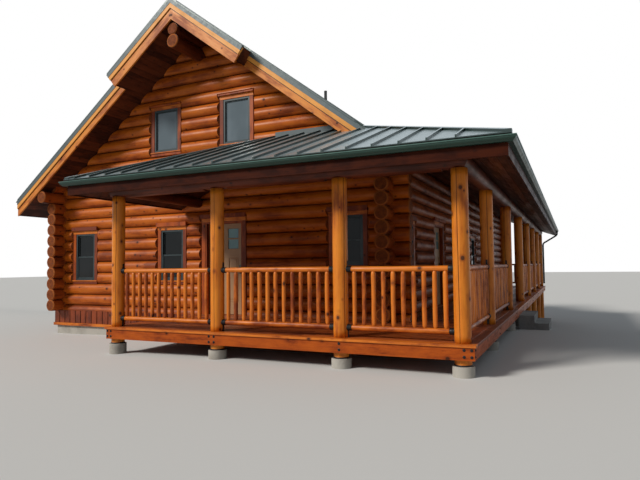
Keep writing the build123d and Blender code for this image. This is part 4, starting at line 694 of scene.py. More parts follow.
def make_railing(name, bays, stands_for, rail_finish):
    mesh = bmesh.new()
    for number, (start, end) in enumerate(bays):
        inset = (end - start).normalized() * (POST_R + COLLAR_LENGTH)
        first, last = start + inset, end - inset
        for height in (RAIL_LOW, RAIL_HIGH):
            lift = UP * height
            add_rail(mesh, first + lift, last + lift, number * 10 + round(height * 7) + len(bays))
        clear = (last - first).length
        room = clear - 2 * END_MARGIN
        spaces = round(room / BALUSTER_PITCH)
        for i in range(spaces + 1):
            foot = first.lerp(last, (END_MARGIN + room * i / spaces) / clear)
            add_baluster(mesh, foot + UP * RAIL_LOW, number * 100 + i)
    make_piece(name, mesh, [rail_finish, BALUSTER_WOOD, RAIL_END_WOOD], stands_for)


COLLAR_WALLS = (-0.012, 0.052), (0.004, 0.052), (0.006, 0.049), (0.052, 0.047), (0.060, 0.044)
COLLAR_PIN_WALLS = (0.002, 0.009), (0.009, 0.008), (0.011, 0.004)
STRAP_HALF, STRAP_BACK, STRAP_FRONT = 0.017, -0.010, 0.004
STRAP_START, STRAP_UP, STRAP_DOWN = 0.03, 0.13, RAIL_LOW - 0.004


def make_collars():
    """Black collars that hold the rails, each with a flange and a strap along the post."""
    mesh = bmesh.new()
    for start, end in FRONT_BAYS + SIDE_BAYS:
        for here, there in ((start, end), (end, start)):
            heading = (there - here).normalized()
            side = heading.cross(UP)
            for height, way, reach in ((RAIL_LOW, -1, STRAP_DOWN), (RAIL_HIGH, 1, STRAP_UP)):
                base = here + heading * POST_R + UP * height
                add_turning(mesh, base, heading, side, UP, 24, COLLAR_WALLS)
                low, high = sorted((STRAP_START * way, reach * way))
                strap = (-STRAP_HALF, STRAP_HALF, low, high)
                add_board(mesh, (base, side, heading), *strap, STRAP_BACK, STRAP_FRONT)
                pin = base + UP * ((reach - STRAP_START) * way)
                add_turning(mesh, pin, heading, side, UP, 10, COLLAR_PIN_WALLS)
    make_piece("rail_collars", mesh, [BLACK_METAL], "rail_brackets")


# Porch posts: peeled logs with a long drying check each

CHECK_HALF_ANGLE = 0.030
CHECK_DEPTH = 0.016
CORNER_POST, CORNER_FACING, CORNER_CHECK = 3, radians(-100), (0.0, 0.93)
POST_STEPS, POST_SIDES = 22, 44
POST_PEEL, POST_UNEVEN = 0.0012, 0.006
POST_SEED = 40


def make_posts():
    mesh = bmesh.new()
    open_turn = tau - 2 * CHECK_HALF_ANGLE
    spread = [0.0, CHECK_HALF_ANGLE]
    spread += [CHECK_HALF_ANGLE + open_turn * i / POST_SIDES for i in range(1, POST_SIDES)]
    spread.append(tau - CHECK_HALF_ANGLE)
    for number, place in enumerate(ALL_PLACES):
        rng = random.Random(POST_SEED + number)
        if number == CORNER_POST:
            facing, (start, stop) = CORNER_FACING, CORNER_CHECK
        else:
            facing = radians(rng.uniform(-150, 30))
            start, stop = sorted((rng.uniform(0.05, 0.5), rng.uniform(0.5, 0.97)))
        phases = [rng.uniform(0, tau) for _ in range(3)]
        rings = []
        for j in range(POST_STEPS + 1):
            share = j / POST_STEPS
            opened = 0.0
            if start < share < stop:
                opened = CHECK_DEPTH * sin(pi * (share - start) / (stop - start)) ** 0.6
            turn = facing + 0.02 * sin(5 * share + phases[2])
            points = []
            for i, a in enumerate(spread):
                wave = sin(2 * a + phases[0] + 2 * share) + 0.5 * sin(3 * a + phases[1] - 4 * share)
                radius = POST_R * (1 + POST_UNEVEN * wave) - POST_PEEL
                points.append((a + turn, radius - opened if i == 0 else radius))
            rings.append(ring(mesh, place + UP * (POST_HEIGHT * share), RIGHT, REARWARD, points))
        # The check's two walls take the near black of painted shade
        skin(mesh, rings, finish=0, cap=0, crack=1)
    make_piece("porch_log_posts", mesh, [POST_WOOD, DEEP_SHADE_WOOD], "porch_posts")


# Bevelled ends of the wall logs and the ridge logs

END_DEPTH = 0.016
END_BEVEL = 0.016
END_SIDES = 28
END_INSET = 0.004
END_SIZE = (0.146, COURSE / 2 - 0.002)
COURSES = 12
PLATE_COURSE, PLATE_TAIL, PLATE_SIZE = 10, 0.74, (0.140, 0.140)
RIDGE_ENDS = (6.257, 0.126), (5.994, 0.146)
LOG_CLEAR = 0.16


# Heights of the roofs over the floor, x from the ridge line and y from the front wall's axis

ROOF_BREAK = 4.0877


def roof_main(x):
    """The top of the main roof."""
    return RIDGE_TOP - FLOOR - ROOF_PITCH * abs(x)


def porch_front_under(x, y):
    return PORCH_EAVE_TOP + PORCH_PITCH * (y + PORCH_EAVE_FRONT) - PORCH_THICK


def porch_right_under(x, y):
    return PORCH_EAVE_TOP + PORCH_PITCH * (PORCH_EAVE_RIGHT - x) - PORCH_THICK


def main_under(x, y):
    return roof_main(x) - ROOF_THICK


def under_roof(x, z):
    """Whether a log with its heart at x and z ends below a roof."""
    under = porch_right_under if x > ROOF_BREAK else main_under
    return under(x, 0.0) > z + LOG_CLEAR


def add_log_end(mesh, layer, centre, out, size, seed):
    """A sawn log end with its edge taken off. It keeps each point's place about the heart."""
    side = out.cross(UP)
    wide, tall = size
    walls = (-END_INSET, 0.0, 1), (END_DEPTH / 4, 0.0, 1), (END_DEPTH, END_BEVEL, 1)
    walls += (END_DEPTH, END_BEVEL, 0.66), (END_DEPTH, END_BEVEL, 0.33)
    rows = []
    for far, drop, share in walls:
        row = []
        for i in range(END_SIDES):
            a = tau * i / END_SIDES
            across, up = (wide - drop) * share * cos(a), (tall - drop) * share * sin(a)
            point = mesh.verts.new(centre + side * across + UP * up + out * far)
            point[layer] = Vector((across, up, seed))
            row.append(point)
        rows.append(row)
    heart = mesh.verts.new(centre + out * END_DEPTH)
    heart[layer] = Vector((0, 0, seed))
    for low, high in pairs(rows):
        span(mesh, low, high)
    for i in range(END_SIDES):
        mesh.faces.new((rows[-1][i], rows[-1][(i + 1) % END_SIDES], heart))
    mesh.faces.new(rows[0][::-1])


def make_log_ends():
    mesh = bmesh.new()
    layer = mesh.verts.layers.float_vector.new("heart_place")
    seed = 0
    for y in (0.0, LENGTH):
        for side in (-1, 1):
            x = side * (WALL_X + LOG_TAIL)
            for course in range(COURSES):
                seed += 1
                z = COURSE * (course + 1)
                if under_roof(x, z):
                    add_log_end(mesh, layer, drawn(x, y, z), RIGHT * side, END_SIZE, seed)
    for side in (-1, 1):
        x = side * WALL_X
        for y, out in ((-LOG_TAIL, FRONTWARD), (LENGTH + LOG_TAIL, REARWARD)):
            for course in range(COURSES):
                seed += 1
                z = COURSE * (course + 0.5)
                plate = side < 0 and course == PLATE_COURSE
                if under_roof(x, z) and not plate:
                    add_log_end(mesh, layer, drawn(x, y, z), out, END_SIZE, seed)
    for y, out in ((-PLATE_TAIL, FRONTWARD), (LENGTH + PLATE_TAIL, REARWARD)):
        seed += 1
        centre = drawn(-WALL_X, y, COURSE * (PLATE_COURSE + 0.5))
        add_log_end(mesh, layer, centre, out, PLATE_SIZE, seed)
    low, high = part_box("ridge_logs")
    for y, out in ((low[1], FRONTWARD), (high[1], REARWARD)):
        for z, radius in RIDGE_ENDS:
            seed += 1
            add_log_end(mesh, layer, Vector((RIDGE_X, y, FLOOR + z)), out, (radius, radius), seed)
    make_piece("log_end_faces", mesh, [SAWN_ENDS])


# Windows: frames with sashes, panes, and casings with a doubled head board

SILL, UPPER_SILL = 0.77, 3.84
# Windows' widths and heights
TALL, SHORT, UPPER = (0.65, 1.19), (0.65, 1.01), (0.70, 1.02)
FRAME_FACE, FRAME_BACK, FRAME_FRONT = 0.045, -0.018, 0.098
PANE_BACK, PANE_FRONT = 0.008, 0.016
STILE, UPPER_STILE, MEETING_LAP = 0.026, 0.022, 0.02
# Sashes: widths of the foot and head rail, back, thickness and glass
HIGH_SASH, LOW_SASH = (0.036, 0.034, 0.030, 0.026, 0), (0.036, 0.034, 0.056, 0.026, 0)
UPPER_SASH = (UPPER_STILE, UPPER_STILE, 0.044, 0.030, 1)
CASING_WIDTH, CASING_FOOT = 0.095, -0.012
CASING_BACK, CASING_FRONT = 0.084, 0.108
HEAD_OVER, HEAD_FRONT = 0.004, 0.112
HEAD, DOOR_HEAD = 0.084, 0.088
CAP_OVER, CAP_BACK = 0.022, 0.086
# Caps: top over the opening, and front
LOWER_CAP, UPPER_CAP, DOOR_CAP = (0.180, 0.162), (0.118, 0.158), (0.175, 0.160)
SILL_OVER, SILL_LOW, SILL_TOP, SILL_FRONT = 0.008, -0.024, 0.004, 0.130
APRON_LOW, APRON_FRONT = -0.088, 0.110

DOORWAY_HALF, DOORWAY_TOP = 0.500, 2.095
DOOR_PLACES = {
    "front_door": (drawn(0.642, 0, 0), RIGHT, FRONTWARD),
    "side_door": (drawn(WALL_X, 3.95, 0), REARWARD, RIGHT),
}


def window_places():
    """Each window's place and size."""
    found = []
    for x, sill, size in ((-3.63, SILL, TALL), (-0.815, SILL, TALL), (3.645, 1.08, SHORT)):
        found.append(((drawn(x, 0, sill), RIGHT, FRONTWARD), size))
    for x in (-1.0, 1.0):
        found.append(((drawn(x, 0, UPPER_SILL), RIGHT, FRONTWARD), UPPER))
        found.append(((drawn(x, LENGTH, UPPER_SILL), LEFT, REARWARD), UPPER))
        found.append(((drawn(2.5 * x, LENGTH, SILL), LEFT, REARWARD), TALL))
    found += [((drawn(WALL_X, y, SILL), REARWARD, RIGHT), TALL) for y in (1.12, 9.25, 13.75)]
    found += [((drawn(-WALL_X, y, SILL), FRONTWARD, LEFT), TALL) for y in (3.0, 8.85, 14.7)]
    return found


def add_rim(mesh, place, outer, inner, back, front):
    """Four boards round an opening: stiles full height, rails between them."""
    left, right, bottom, top = outer
    a, b, c, d = inner
    for box in ((left, a, bottom, top), (b, right, bottom, top), (a, b, bottom, c), (a, b, d, top)):
        add_board(mesh, place, *box, back, front)


def add_casing(mesh, place, half, foot, top, head, cap):
    """Side boards, a pale head board and a cap. Head is the head board's top over the opening."""
    edge = half + CASING_WIDTH
    add_board(mesh, place, -edge, -half, foot, top, CASING_BACK, CASING_FRONT)
    add_board(mesh, place, half, edge, foot, top, CASING_BACK, CASING_FRONT)
    over = edge + HEAD_OVER
    add_board(mesh, place, -over, over, top, top + head, CASING_BACK, HEAD_FRONT, 1)
    over = edge + CAP_OVER
    add_board(mesh, place, -over, over, top + head, top + cap[0], CAP_BACK, cap[1])


def make_windows():
    frames, panes, trims = bmesh.new(), bmesh.new(), bmesh.new()
    for place, size in window_places():
        half, height = size[0] / 2, size[1]
        clear, top = half - FRAME_FACE, height - FRAME_FACE
        outer = (-half, half, 0, height)
        add_rim(frames, place, outer, (-clear, clear, FRAME_FACE, top), FRAME_BACK, FRAME_FRONT)
        if size == UPPER:
            stile, cap = UPPER_STILE, UPPER_CAP
            sashes = [(FRAME_FACE, top, UPPER_SASH)]
        else:
            stile, cap, middle = STILE, LOWER_CAP, height / 2
            sashes = [(middle - MEETING_LAP, top, HIGH_SASH)]
            sashes.append((FRAME_FACE, middle + MEETING_LAP, LOW_SASH))
        for low, high, (foot, head, back, thick, glass) in sashes:
            opening = (stile - clear, clear - stile, low + foot, high - head)
            add_rim(frames, place, (-clear, clear, low, high), opening, back, back + thick)
            add_board(panes, place, *opening, back + PANE_BACK, back + PANE_FRONT, glass)
        add_casing(trims, place, half, CASING_FOOT, height, HEAD, cap)
        edge = half + CASING_WIDTH
        over = edge + SILL_OVER
        add_board(trims, place, -over, over, SILL_LOW, SILL_TOP, CASING_BACK, SILL_FRONT, 1)
        add_board(trims, place, -edge, edge, APRON_LOW, SILL_LOW, CASING_BACK, APRON_FRONT)
    for place in DOOR_PLACES.values():
        add_casing(trims, place, DOORWAY_HALF, 0.0, DOORWAY_TOP, DOOR_HEAD, DOOR_CAP)
    soften(frames, 0.002)
    soften(trims, 0.003)
    make_piece("window_sashes", frames, [FRAME_METAL], "window_frames")
    make_piece("window_panes", panes, [LOWER_GLASS, UPPER_GLASS_REFLECTION], "window_glass")
    make_piece("opening_trims", trims, [CASING_WOOD, CASING_EDGE_WOOD], "casings")


# Doors: mouldings round the lites and raised fields in the panels

LEAF_FACE, LEAF_BACK = 0.010, -0.035
PANEL_SUNK = 0.010
LITE_FOOT, LITE_HEIGHT, LITE_BAR, LITE_HALF = 1.485, 0.208, 0.030, 0.138
PANEL_FOOT, PANEL_TOP, PANEL_HALF = 0.320, 1.267, 0.1165
DOOR_MULLION = 0.128
COLUMNS = [side * (DOOR_MULLION / 2 + LITE_HALF) for side in (-1, 1)]
LITE_MOULDING, PANEL_MOULDING, MOULDING_RISE = 0.012, 0.016, 0.006
FIELD_MARGIN = 0.018
FIELD_STEPS = (0.0, -0.001), (0.0, 0.001), (-0.030, 0.008)


def add_steps(mesh, place, box, level, out, steps):
    """Mitred rows of corners round a rectangle, each given as (margin, rise) from a door's face."""
    rows = []
    for grow, rise in steps:
        rows.append([mesh.verts.new(p) for p in rectangle(place, *box, level + out * rise, grow)])
    return rows


def add_field(mesh, place, box, level, out):
    """A raised field with sloping edges, on either face of a door."""
    rows = add_steps(mesh, place, box, level, out, FIELD_STEPS)
    for low, high in pairs(rows):
        span(mesh, low, high)
    mesh.faces.new(rows[0][::-1])
    mesh.faces.new(rows[-1])


def add_moulding(mesh, place, box, level, width, out):
    """A moulding round a rectangle, mitred, with a rounded back."""
    section = (0.0, -0.001), (0.0, MOULDING_RISE * 0.5), (width * 0.25, MOULDING_RISE)
    section += (width * 0.6, MOULDING_RISE * 0.85), (width, 0.002), (width, -0.001)
    rows = add_steps(mesh, place, box, level, out, section)
    for low, high in pairs(rows + rows[:1]):
        span(mesh, low, high)


def make_door_mouldings():
    for body, place in DOOR_PLACES.items():
        mesh = bmesh.new()
        for middle in COLUMNS:
            for level, out in ((LEAF_FACE, 1), (LEAF_BACK, -1)):
                for foot in (LITE_FOOT, LITE_FOOT + LITE_HEIGHT + LITE_BAR):
                    box = (middle - LITE_HALF, middle + LITE_HALF, foot, foot + LITE_HEIGHT)
                    add_moulding(mesh, place, box, level, LITE_MOULDING, out)
                box = (middle - PANEL_HALF, middle + PANEL_HALF, PANEL_FOOT, PANEL_TOP)
                add_moulding(mesh, place, box, level, PANEL_MOULDING, out)
                half = PANEL_HALF - FIELD_MARGIN
                box = (middle - half, middle + half, PANEL_FOOT + FIELD_MARGIN, PANEL_TOP - FIELD_MARGIN)
                add_field(mesh, place, box, level - out * PANEL_SUNK, out)
        make_piece(f"{body}_mouldings", mesh, [DOOR_PAINT], body=body)


# Porch deck: laid boards with a lighter front nosing and two border boards along the side

BOARD_GAP = 0.006
BORDER_WIDTH = 0.145
FRONT_ROWS, SIDE_ROWS = 18, 11
LONGEST, BORDER_SHORTEST, FIELD_SHORTEST, LAST_SHORTEST = 4.9, 3.4, 2.4, 1.0
DECK_EASE = 0.003
DECK_SEED = 5


def lay_boards(mesh, rng, x0, x1, shortest):
    """Boards laid end to end along the side porch, of uneven lengths."""
    y = WALL_FRONT
    while y < WALL_REAR:
        stop = min(y + rng.uniform(shortest, LONGEST), WALL_REAR)
        stop = WALL_REAR if WALL_REAR - stop < LAST_SHORTEST else stop
        add_plank(mesh, x0, x1, y + BOARD_GAP, stop, DECK_UNDER, DECK_TOP)
        y = stop


def make_decks():
    front, side = bmesh.new(), bmesh.new()
    rng = random.Random(DECK_SEED)
    border = DECK_RIGHT - 2 * BORDER_WIDTH
    wall_right = RIDGE_X + WALL_X + LOG_R
    step = (WALL_FRONT - DECK_FRONT) / FRONT_ROWS
    for i in range(FRONT_ROWS):
        y = DECK_FRONT + step * i
        cuts = [DECK_LEFT, DECK_LEFT + rng.uniform(1.6, 4.8), border]
        if i == 0:
            cuts = [DECK_LEFT, DECK_RIGHT + BOARD_GAP]
        for x0, x1 in pairs(cuts):
            finish = 1 if i == 0 else 0
            add_plank(front, x0, x1 - BOARD_GAP, y, y + step - BOARD_GAP, DECK_UNDER, DECK_TOP, finish)
    for i in range(2):
        x = border + BORDER_WIDTH * i
        x1 = x + BORDER_WIDTH - BOARD_GAP * (1 - i)
        add_plank(front, x, x1, DECK_FRONT + step, WALL_FRONT, DECK_UNDER, DECK_TOP, 2)
        lay_boards(side, rng, x, x1, BORDER_SHORTEST)
    step = (border - wall_right) / SIDE_ROWS
    for i in range(SIDE_ROWS):
        x = wall_right + step * i
        lay_boards(side, rng, x, x + step - BOARD_GAP, FIELD_SHORTEST)
    soften(front, DECK_EASE)
    soften(side, DECK_EASE)
    finishes = [DECK_X_WOOD, NOSING_WOOD, DECK_Y_WOOD]
    make_piece("deck_boards_front", front, finishes, "deck_front")
    make_piece("deck_boards_side", side, [DECK_Y_WOOD], "deck_side")


# Bolts along the rims, and bands at the posts' feet

BOLT_HEIGHTS = (-0.073, -0.165)
FRONT_BOLTS = (-0.075, 0.005, 2.195, 2.295, 6.365, 6.465)
LONE_BOLT, CORNER_BOLT = 4.545, 0.075
RIM_INSET = 0.025
WASHER_WALLS = (-0.002, 0.021), (0.003, 0.021), (0.004, 0.019)
BOLT_WALLS = (0.002, 0.012), (0.010, 0.012), (0.012, 0.010)


def make_bolts():
    """Black bolt heads on washers along the porch rims."""
    mesh = bmesh.new()
    y, x = DECK_FRONT + RIM_INSET, DECK_RIGHT - RIM_INSET
    spots = [((RIDGE_X + far, y, FLOOR + z), FRONTWARD) for far in FRONT_BOLTS for z in BOLT_HEIGHTS]
    for z in BOLT_HEIGHTS:
        spots.append(((RIDGE_X + LONE_BOLT, y, FLOOR + z), FRONTWARD))
        for far in [DECK_FRONT + CORNER_BOLT] + SIDE_POSTS + REAR_POSTS:
            spots.append(((x, far, FLOOR + z), RIGHT))
    for spot, out in spots:
        for sides, walls in ((20, WASHER_WALLS), (6, BOLT_WALLS)):
            add_turning(mesh, Vector(spot), out, out.cross(UP), UP, sides, walls)
    for face in mesh.faces:
        face.smooth = False
    make_piece("rim_bolts", mesh, [BLACK_METAL])


SHOE_WALLS = (0.0, 0.120), (0.001, 0.124), (0.020, 0.124), (0.022, 0.117)
PIER_TOP, REAR_PIER_TOP, PIER_FALL = -0.310, -0.750, 0.0945


def make_post_shoes():
    """A black band round the foot of each post leg, on its pier."""
    mesh = bmesh.new()
    for place in ALL_PLACES:
        foot = PIER_TOP
        if place.y > SIDE_POSTS[-1]:
            foot = REAR_PIER_TOP - PIER_FALL * (place.y - REAR_POSTS[0])
        add_turning(mesh, place + UP * foot, UP, RIGHT, REARWARD, 40, SHOE_WALLS)
    make_piece("post_shoes", mesh, [BLACK_METAL])


# Skirt: upright boards over a backing painted dark as shade, on a trim board

SKIRT_LOW = FLOOR - 0.313
SKIRT_JOINT = 0.011
SKIRT_PROUD = 0.022
SKIRT_BOARD, SKIRT_BACKING = (0.004, 0.021), (0.0, 0.008)
SKIRT_PITCH = 0.19
SKIRT_TRIM, SKIRT_TRIM_FRONT, SKIRT_TRIM_OVER = 0.072, 0.040, 0.018


def make_skirt():
    mesh = bmesh.new()
    x0, x1 = RIDGE_X - WALL_X - LOG_R, RIDGE_X + WALL_X + LOG_R
    runs = (
        ((x0 - SKIRT_PROUD, WALL_FRONT), (DECK_LEFT, WALL_FRONT), FRONTWARD, -SKIRT_TRIM_OVER),
        ((x0, WALL_REAR + SKIRT_PROUD), (x0, WALL_FRONT - SKIRT_PROUD), LEFT, 0.0),
        ((x1, WALL_REAR), (x0 - SKIRT_PROUD, WALL_REAR), REARWARD, 0.0),
    )
    for start, end, out, trim_start in runs:
        start, end = Vector((*start, 0)), Vector((*end, 0))
        length = (end - start).length
        place = (start, (end - start).normalized(), out)
        # The backing is painted shade, seen in the joints between the boards
        add_board(mesh, place, 0, length, SKIRT_LOW, FLOOR, *SKIRT_BACKING, 1)
        count = round(length / SKIRT_PITCH)
        pitch = length / count
        for i in range(count):
            left, right = pitch * i + SKIRT_JOINT, pitch * (i + 1) - SKIRT_JOINT
            add_board(mesh, place, left, right, SKIRT_LOW, FLOOR, *SKIRT_BOARD, 0)
        low = SKIRT_LOW - SKIRT_TRIM
        add_board(mesh, place, trim_start, length, low, SKIRT_LOW, 0.0, SKIRT_TRIM_FRONT, 2)
    soften(mesh, 0.0025)
    finishes = [SKIRT_WOOD, DEEP_SHADE_WOOD, SKIRT_TRIM_WOOD]
    make_piece("skirt_planks", mesh, finishes, "skirt_boards")


# Gutters: a rolled profile along the eaves, with end caps and a bent downspout

GUTTER_TOP, GUTTER_TALL = 2.637, 0.078
GUTTER_OUTER = (
    (0, GUTTER_TALL), (0, 0), (0.060, 0), (0.068, 0.009), (0.078, 0.019),
    (0.091, 0.030), (0.099, 0.044), (0.101, 0.062), (0.110, 0.064), (0.110, GUTTER_TALL),
)
GUTTER_INNER = (
    (0.098, GUTTER_TALL), (0.098, 0.045), (0.088, 0.033), (0.075, 0.022),
    (0.065, 0.012), (0.058, 0.003), (0.003, 0.003), (0.003, GUTTER_TALL),
)
# The top roll's faces, which take the painted highlight
LIP_FACES = (7, 8, 9)
GUTTER_PATH = (-0.497, -0.158), (-0.497, -3.291), (7.051, -3.291), (7.051, 18.512)
SPOUT_PATH = (
    (7.106, 2.565), (7.106, 2.50), (7.10, 2.43), (7.06, 2.37), (6.98, 2.32), (6.62, 2.10),
    (6.53, 2.05), (6.487, 1.99), (6.4775, 1.92), (6.4775, 0.20), (6.4775, 0.125),
)
SPOUT_R, SPOUT_SIDES, SPOUT_SQUARENESS = 0.0355, 16, 5
CAP_LEVELS = (-0.004, -0.001)


def make_gutters():
    mesh = bmesh.new()

    def section(base, out, shape):
        return [mesh.verts.new(base + out * u + UP * v) for u, v in shape]

    path = [drawn(x, y, GUTTER_TOP - GUTTER_TALL) for x, y in GUTTER_PATH]
    outs = [(b - a).normalized().cross(UP) for a, b in pairs(path)]
    turns = [outs[0]] + [(a + b) / (1 + a.dot(b)) for a, b in pairs(outs)] + [outs[-1]]
    rows = [section(base, out, GUTTER_OUTER + GUTTER_INNER) for base, out in zip(path, turns)]
    for low, high in pairs(rows):
        for i, face in enumerate(span(mesh, low, high)):
            face.material_index = 1 if i in LIP_FACES else 0
    mesh.faces.new(rows[0][::-1])
    mesh.faces.new(rows[-1])
    for end, out, way in ((path[0], outs[0], -1), (path[-1], outs[-1], 1)):
        along = UP.cross(out) * way
        rows = [section(end + along * far, out, GUTTER_OUTER) for far in CAP_LEVELS]
        span(mesh, *rows)
        mesh.faces.new(rows[0][::-1])
        mesh.faces.new(rows[1])
    points = [drawn(x, LENGTH, z) for x, z in SPOUT_PATH]
    shape = []
    for k in range(SPOUT_SIDES):
        a = tau * k / SPOUT_SIDES
        bulge = abs(cos(a)) ** SPOUT_SQUARENESS + abs(sin(a)) ** SPOUT_SQUARENESS
        shape.append((a, SPOUT_R * bulge ** (-1 / SPOUT_SQUARENESS)))
    rings = []
    for i, point in enumerate(points):
        along = (points[min(i + 1, len(points) - 1)] - points[max(i - 1, 0)]).normalized()
        rings.append(ring(mesh, point, REARWARD, along.cross(REARWARD), shape))
    skin(mesh, rings, 2)
    finishes = [GUTTER_METAL, GUTTER_LIP_HIGHLIGHT, DOWNSPOUT_METAL]
    make_piece("eave_gutters", mesh, finishes, "gutters")


# Ceiling boards under the overhangs and the porch roof

SOFFIT_THICK = 0.012
SOFFIT_JOINT = 0.006
SOFFIT_LAP = 0.003
OVERHANG, PROW, PROW_HALF = 0.744, 1.084, 1.63
MAIN_BOARD, MAIN_HALF, MAIN_RIGHT_END = 0.145, 5.13, 3.80
SOFFIT_WALL, GABLE_GAP = 4.64, 0.10
PORCH_BOARD, PORCH_FRONT_ROWS, PORCH_RIGHT_ROWS = 0.152, 20, 15
PORCH_SOFFIT_FRONT, PORCH_SOFFIT_RIGHT, PORCH_SOFFIT_REAR = -3.255, 7.015, 18.43
MITRE_FRONT, MITRE_RIGHT = 7.02, -3.245
HIP_X, HIP_Y, HIP_RUN = -0.467, -3.261, 2.54 / 3.251


def make_soffits():
    mesh = bmesh.new()

    def add_strip(under, x0, x1, y0, y1, finish=0):
        """A board under a slope."""
        corners = (x0, y0), (x1, y0), (x1, y1), (x0, y1)
        drops = (SOFFIT_THICK, -SOFFIT_LAP)
        rows = [[drawn(x, y, under(x, y) - drop) for x, y in corners] for drop in drops]
        add_block(mesh, rows, finish)

    run = MAIN_BOARD * cos(atan(ROOF_PITCH))
    for side in (-1, 1):
        for i in range(int(MAIN_HALF / run)):
            x0, x1 = side * run * i, side * (run * (i + 1) - SOFFIT_JOINT)
            far = abs(x1)
            if side > 0 and far > MAIN_RIGHT_END:
                break
            reach = PROW if far < PROW_HALF else OVERHANG
            if far > SOFFIT_WALL:
                add_strip(main_under, x0, x1, -OVERHANG, LENGTH + OVERHANG)
            else:
                add_strip(main_under, x0, x1, -reach, -GABLE_GAP)
                add_strip(main_under, x0, x1, LENGTH + GABLE_GAP, LENGTH + reach)
    for i in range(PORCH_FRONT_ROWS):
        y0 = PORCH_SOFFIT_FRONT + PORCH_BOARD * i
        y1 = y0 + PORCH_BOARD - SOFFIT_JOINT
        left = HIP_X + (y0 - HIP_Y) * HIP_RUN
        right = MITRE_FRONT - (y0 - PORCH_SOFFIT_FRONT)
        add_strip(porch_front_under, left, right, y0, y1, 1)
    for i in range(PORCH_RIGHT_ROWS):
        x1 = PORCH_SOFFIT_RIGHT - PORCH_BOARD * i
        x0 = x1 - PORCH_BOARD + SOFFIT_JOINT
        start = MITRE_RIGHT + (PORCH_SOFFIT_RIGHT - x1)
        add_strip(porch_right_under, x0, x1, start, PORCH_SOFFIT_REAR)
    make_piece("soffit_planks", mesh, [SOFFIT_WOOD, SOFFIT_X_WOOD])


# Painted shadow strips and metal hems along the rake boards, under and over the boards' faces

RAKE_FACE, PROW_FACE = -0.812, -1.152


def add_slope_strip(mesh, side, near, far, level, top, bottom):
    """A strip along one slope, between two depths from the gable and two drops below the roof's top."""
    corners = (near, top), (far, top), (far, bottom), (near, bottom)
    add_block(mesh, [[drawn(side * x, y, roof_main(x) - drop) for x, drop in corners] for y in level])


def make_rake_lines():
    """A dark strip of painted shadow under the trim of each rake board, and the folded metal hem over it."""
    shadow_strips, hems = bmesh.new(), bmesh.new()
    for side, end in ((-1, 5.20), (1, 4.0)):
        for mesh, lengths, depths, drops in (
            (shadow_strips, ((0.0, 1.70), (1.60, end)), (0.028, 0.036), (0.221, 0.238)),
            (hems, ((0.15, 1.83), (1.84, end + 0.10)), (0.002, 0.095), (-0.034, 0.030)),
        ):
            for (near, far), y in zip(lengths, (PROW_FACE, RAKE_FACE)):
                for face, out in ((y, -1), (LENGTH - y, 1)):
                    level = [face - out * depth for depth in depths]
                    add_slope_strip(mesh, side, near, far, level, *drops)
    soften(hems, 0.004)
    make_piece("rake_shadow_strips", shadow_strips, [DEEP_SHADE_WOOD])
    make_piece("rake_hems", hems, [TRIM_METAL])


make_railing("front_rails", FRONT_BAYS, "railings_front", RAIL_X_WOOD)
make_railing("side_rails", SIDE_BAYS, "railings_side", RAIL_Y_WOOD)
make_collars()
make_posts()
make_log_ends()
make_windows()
make_door_mouldings()
make_decks()
make_bolts()
make_post_shoes()
make_skirt()
make_gutters()
make_soffits()
make_rake_lines()


# Floor: pale, at the feet of the front piers before the porch, and falling to the rear

FRONT_DROP, LEFT_DROP, LEFT_START, LEFT_RUN = 0.455, 0.15, RIDGE_X + 2.5, 7.0
FALL_START, FALL_END = WALL_Y + 2.0, REAR_Y - 1.5
STAGE_REACH, STAGE_STEPS, STAGE_CLEAR = 160.0, 80, 0.002
STAGE_COLOUR = (0.66, 0.66, 0.65, 1)


def eased(value):
    """A share from 0 to 1 with a soft start and end."""
    share = min(max(value, 0), 1)
    return share * share * (3 - 2 * share)


def stage_height(x, y):
    """The floor is a little lower to the left, and at the foundation's foot behind the cabin."""
    level = FLOOR - FRONT_DROP - LEFT_DROP * eased((LEFT_START - x) / LEFT_RUN)
    return level * (1 - eased((y - FALL_START) / (FALL_END - FALL_START)))


def make_floor():
    mesh = bmesh.new()
    shares = [2 * i / STAGE_STEPS - 1 for i in range(STAGE_STEPS + 1)]
    spans = [STAGE_REACH * share * abs(share) for share in shares]
    rows = [[mesh.verts.new((x, y, stage_height(x, y) - STAGE_CLEAR)) for x in spans] for y in spans]
    for low, high in pairs(rows):
        for i in range(STAGE_STEPS):
            mesh.faces.new((low[i], low[i + 1], high[i + 1], high[i])).smooth = True
    net = surface("pale_ground", roughness=0.95, gloss=0.1)
    net.shader["Base Color"].default_value = STAGE_COLOUR
    add_object("ground", mesh, [net.material])


make_floor()


# Light: a soft dome with a broad lamp from the front left

DOME_COLOUR, MIRRORED_COLOUR, WHITE = (0.86, 0.93, 1.0), (0.86, 0.94, 1.0), (1, 1, 1)
DOME_STRENGTH, MIRRORED_STRENGTH, WHITE_STRENGTH = 0.24, 0.8, 1.0
LAMP_COLOUR, LAMP_ENERGY, LAMP_SPREAD = (1.0, 0.95, 0.88), 3.0, radians(14)
LAMP_WAY = Vector((0.55, 0.72, -0.62))


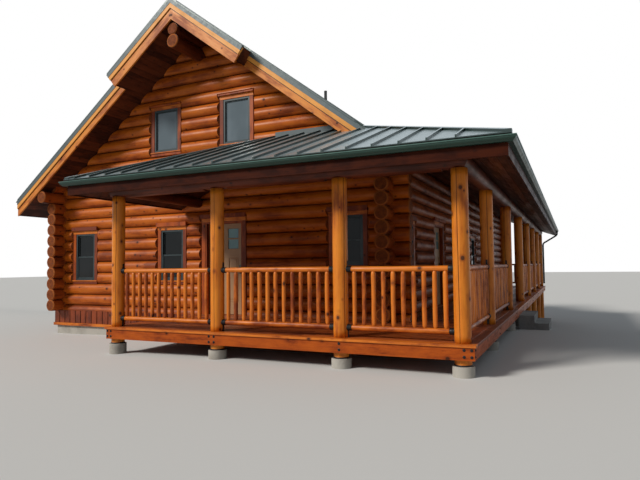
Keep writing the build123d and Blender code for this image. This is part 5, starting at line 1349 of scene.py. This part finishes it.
def light_scene():
    world = bpy.data.worlds.new("studio")
    bpy.context.scene.world = world
    world.use_nodes = True
    net = Net(world.node_tree)
    net.tree.nodes.clear()

    def background(colour, strength):
        return net.put("ShaderNodeBackground", {"Color": colour, "Strength": strength}).outputs[0]

    def either(share, a, b):
        return net.put("ShaderNodeMixShader", {0: share, 1: a, 2: b}).outputs[0]

    path = net.put("ShaderNodeLightPath").outputs
    seen = net.math("MAXIMUM", path["Is Camera Ray"], path["Is Transmission Ray"])
    soft = background(DOME_COLOUR, DOME_STRENGTH)
    mirrored = background(MIRRORED_COLOUR, MIRRORED_STRENGTH)
    lit = either(path["Is Glossy Ray"], soft, mirrored)
    net.put("ShaderNodeOutputWorld", {0: either(seen, lit, background(WHITE, WHITE_STRENGTH))})
    lamp = bpy.data.lights.new("sun_lamp", "SUN")
    lamp.energy = LAMP_ENERGY
    lamp.angle = LAMP_SPREAD
    lamp.color = LAMP_COLOUR
    holder = bpy.data.objects.new("sun_lamp", lamp)
    bpy.context.scene.collection.objects.link(holder)
    holder.rotation_mode = "QUATERNION"
    holder.rotation_quaternion = LAMP_WAY.to_track_quat("-Z", "Y")


light_scene()


# Camera at the photograph's place

FOCAL_PX, PICTURE_WIDTH = 541.378, 640
SENSOR_WIDTH, FARTHEST = 36.0, 500
YAW, TILT, ROLL = radians(24.9325), radians(2.7058), radians(-0.6513)
CAMERA_PLACE = Vector((6.8025, -17.9055, 2.733))


def place_camera():
    data = bpy.data.cameras.new("camera")
    camera = bpy.data.objects.new("camera", data)
    bpy.context.scene.collection.objects.link(camera)
    data.sensor_width = SENSOR_WIDTH
    data.lens = FOCAL_PX / PICTURE_WIDTH * SENSOR_WIDTH
    data.clip_end = FARTHEST
    ahead = Vector((-sin(YAW) * cos(TILT), cos(YAW) * cos(TILT), sin(TILT)))
    right = Vector((cos(YAW), sin(YAW), 0))
    up = right.cross(ahead)
    side = right * cos(ROLL) + up * sin(ROLL)
    top = up * cos(ROLL) - right * sin(ROLL)
    turn = Matrix((side, top, -ahead)).transposed()
    camera.matrix_world = Matrix.Translation(CAMERA_PLACE) @ turn.to_4x4()
    bpy.context.scene.camera = camera


place_camera()
bpy.context.scene.view_settings.view_transform = "Standard"
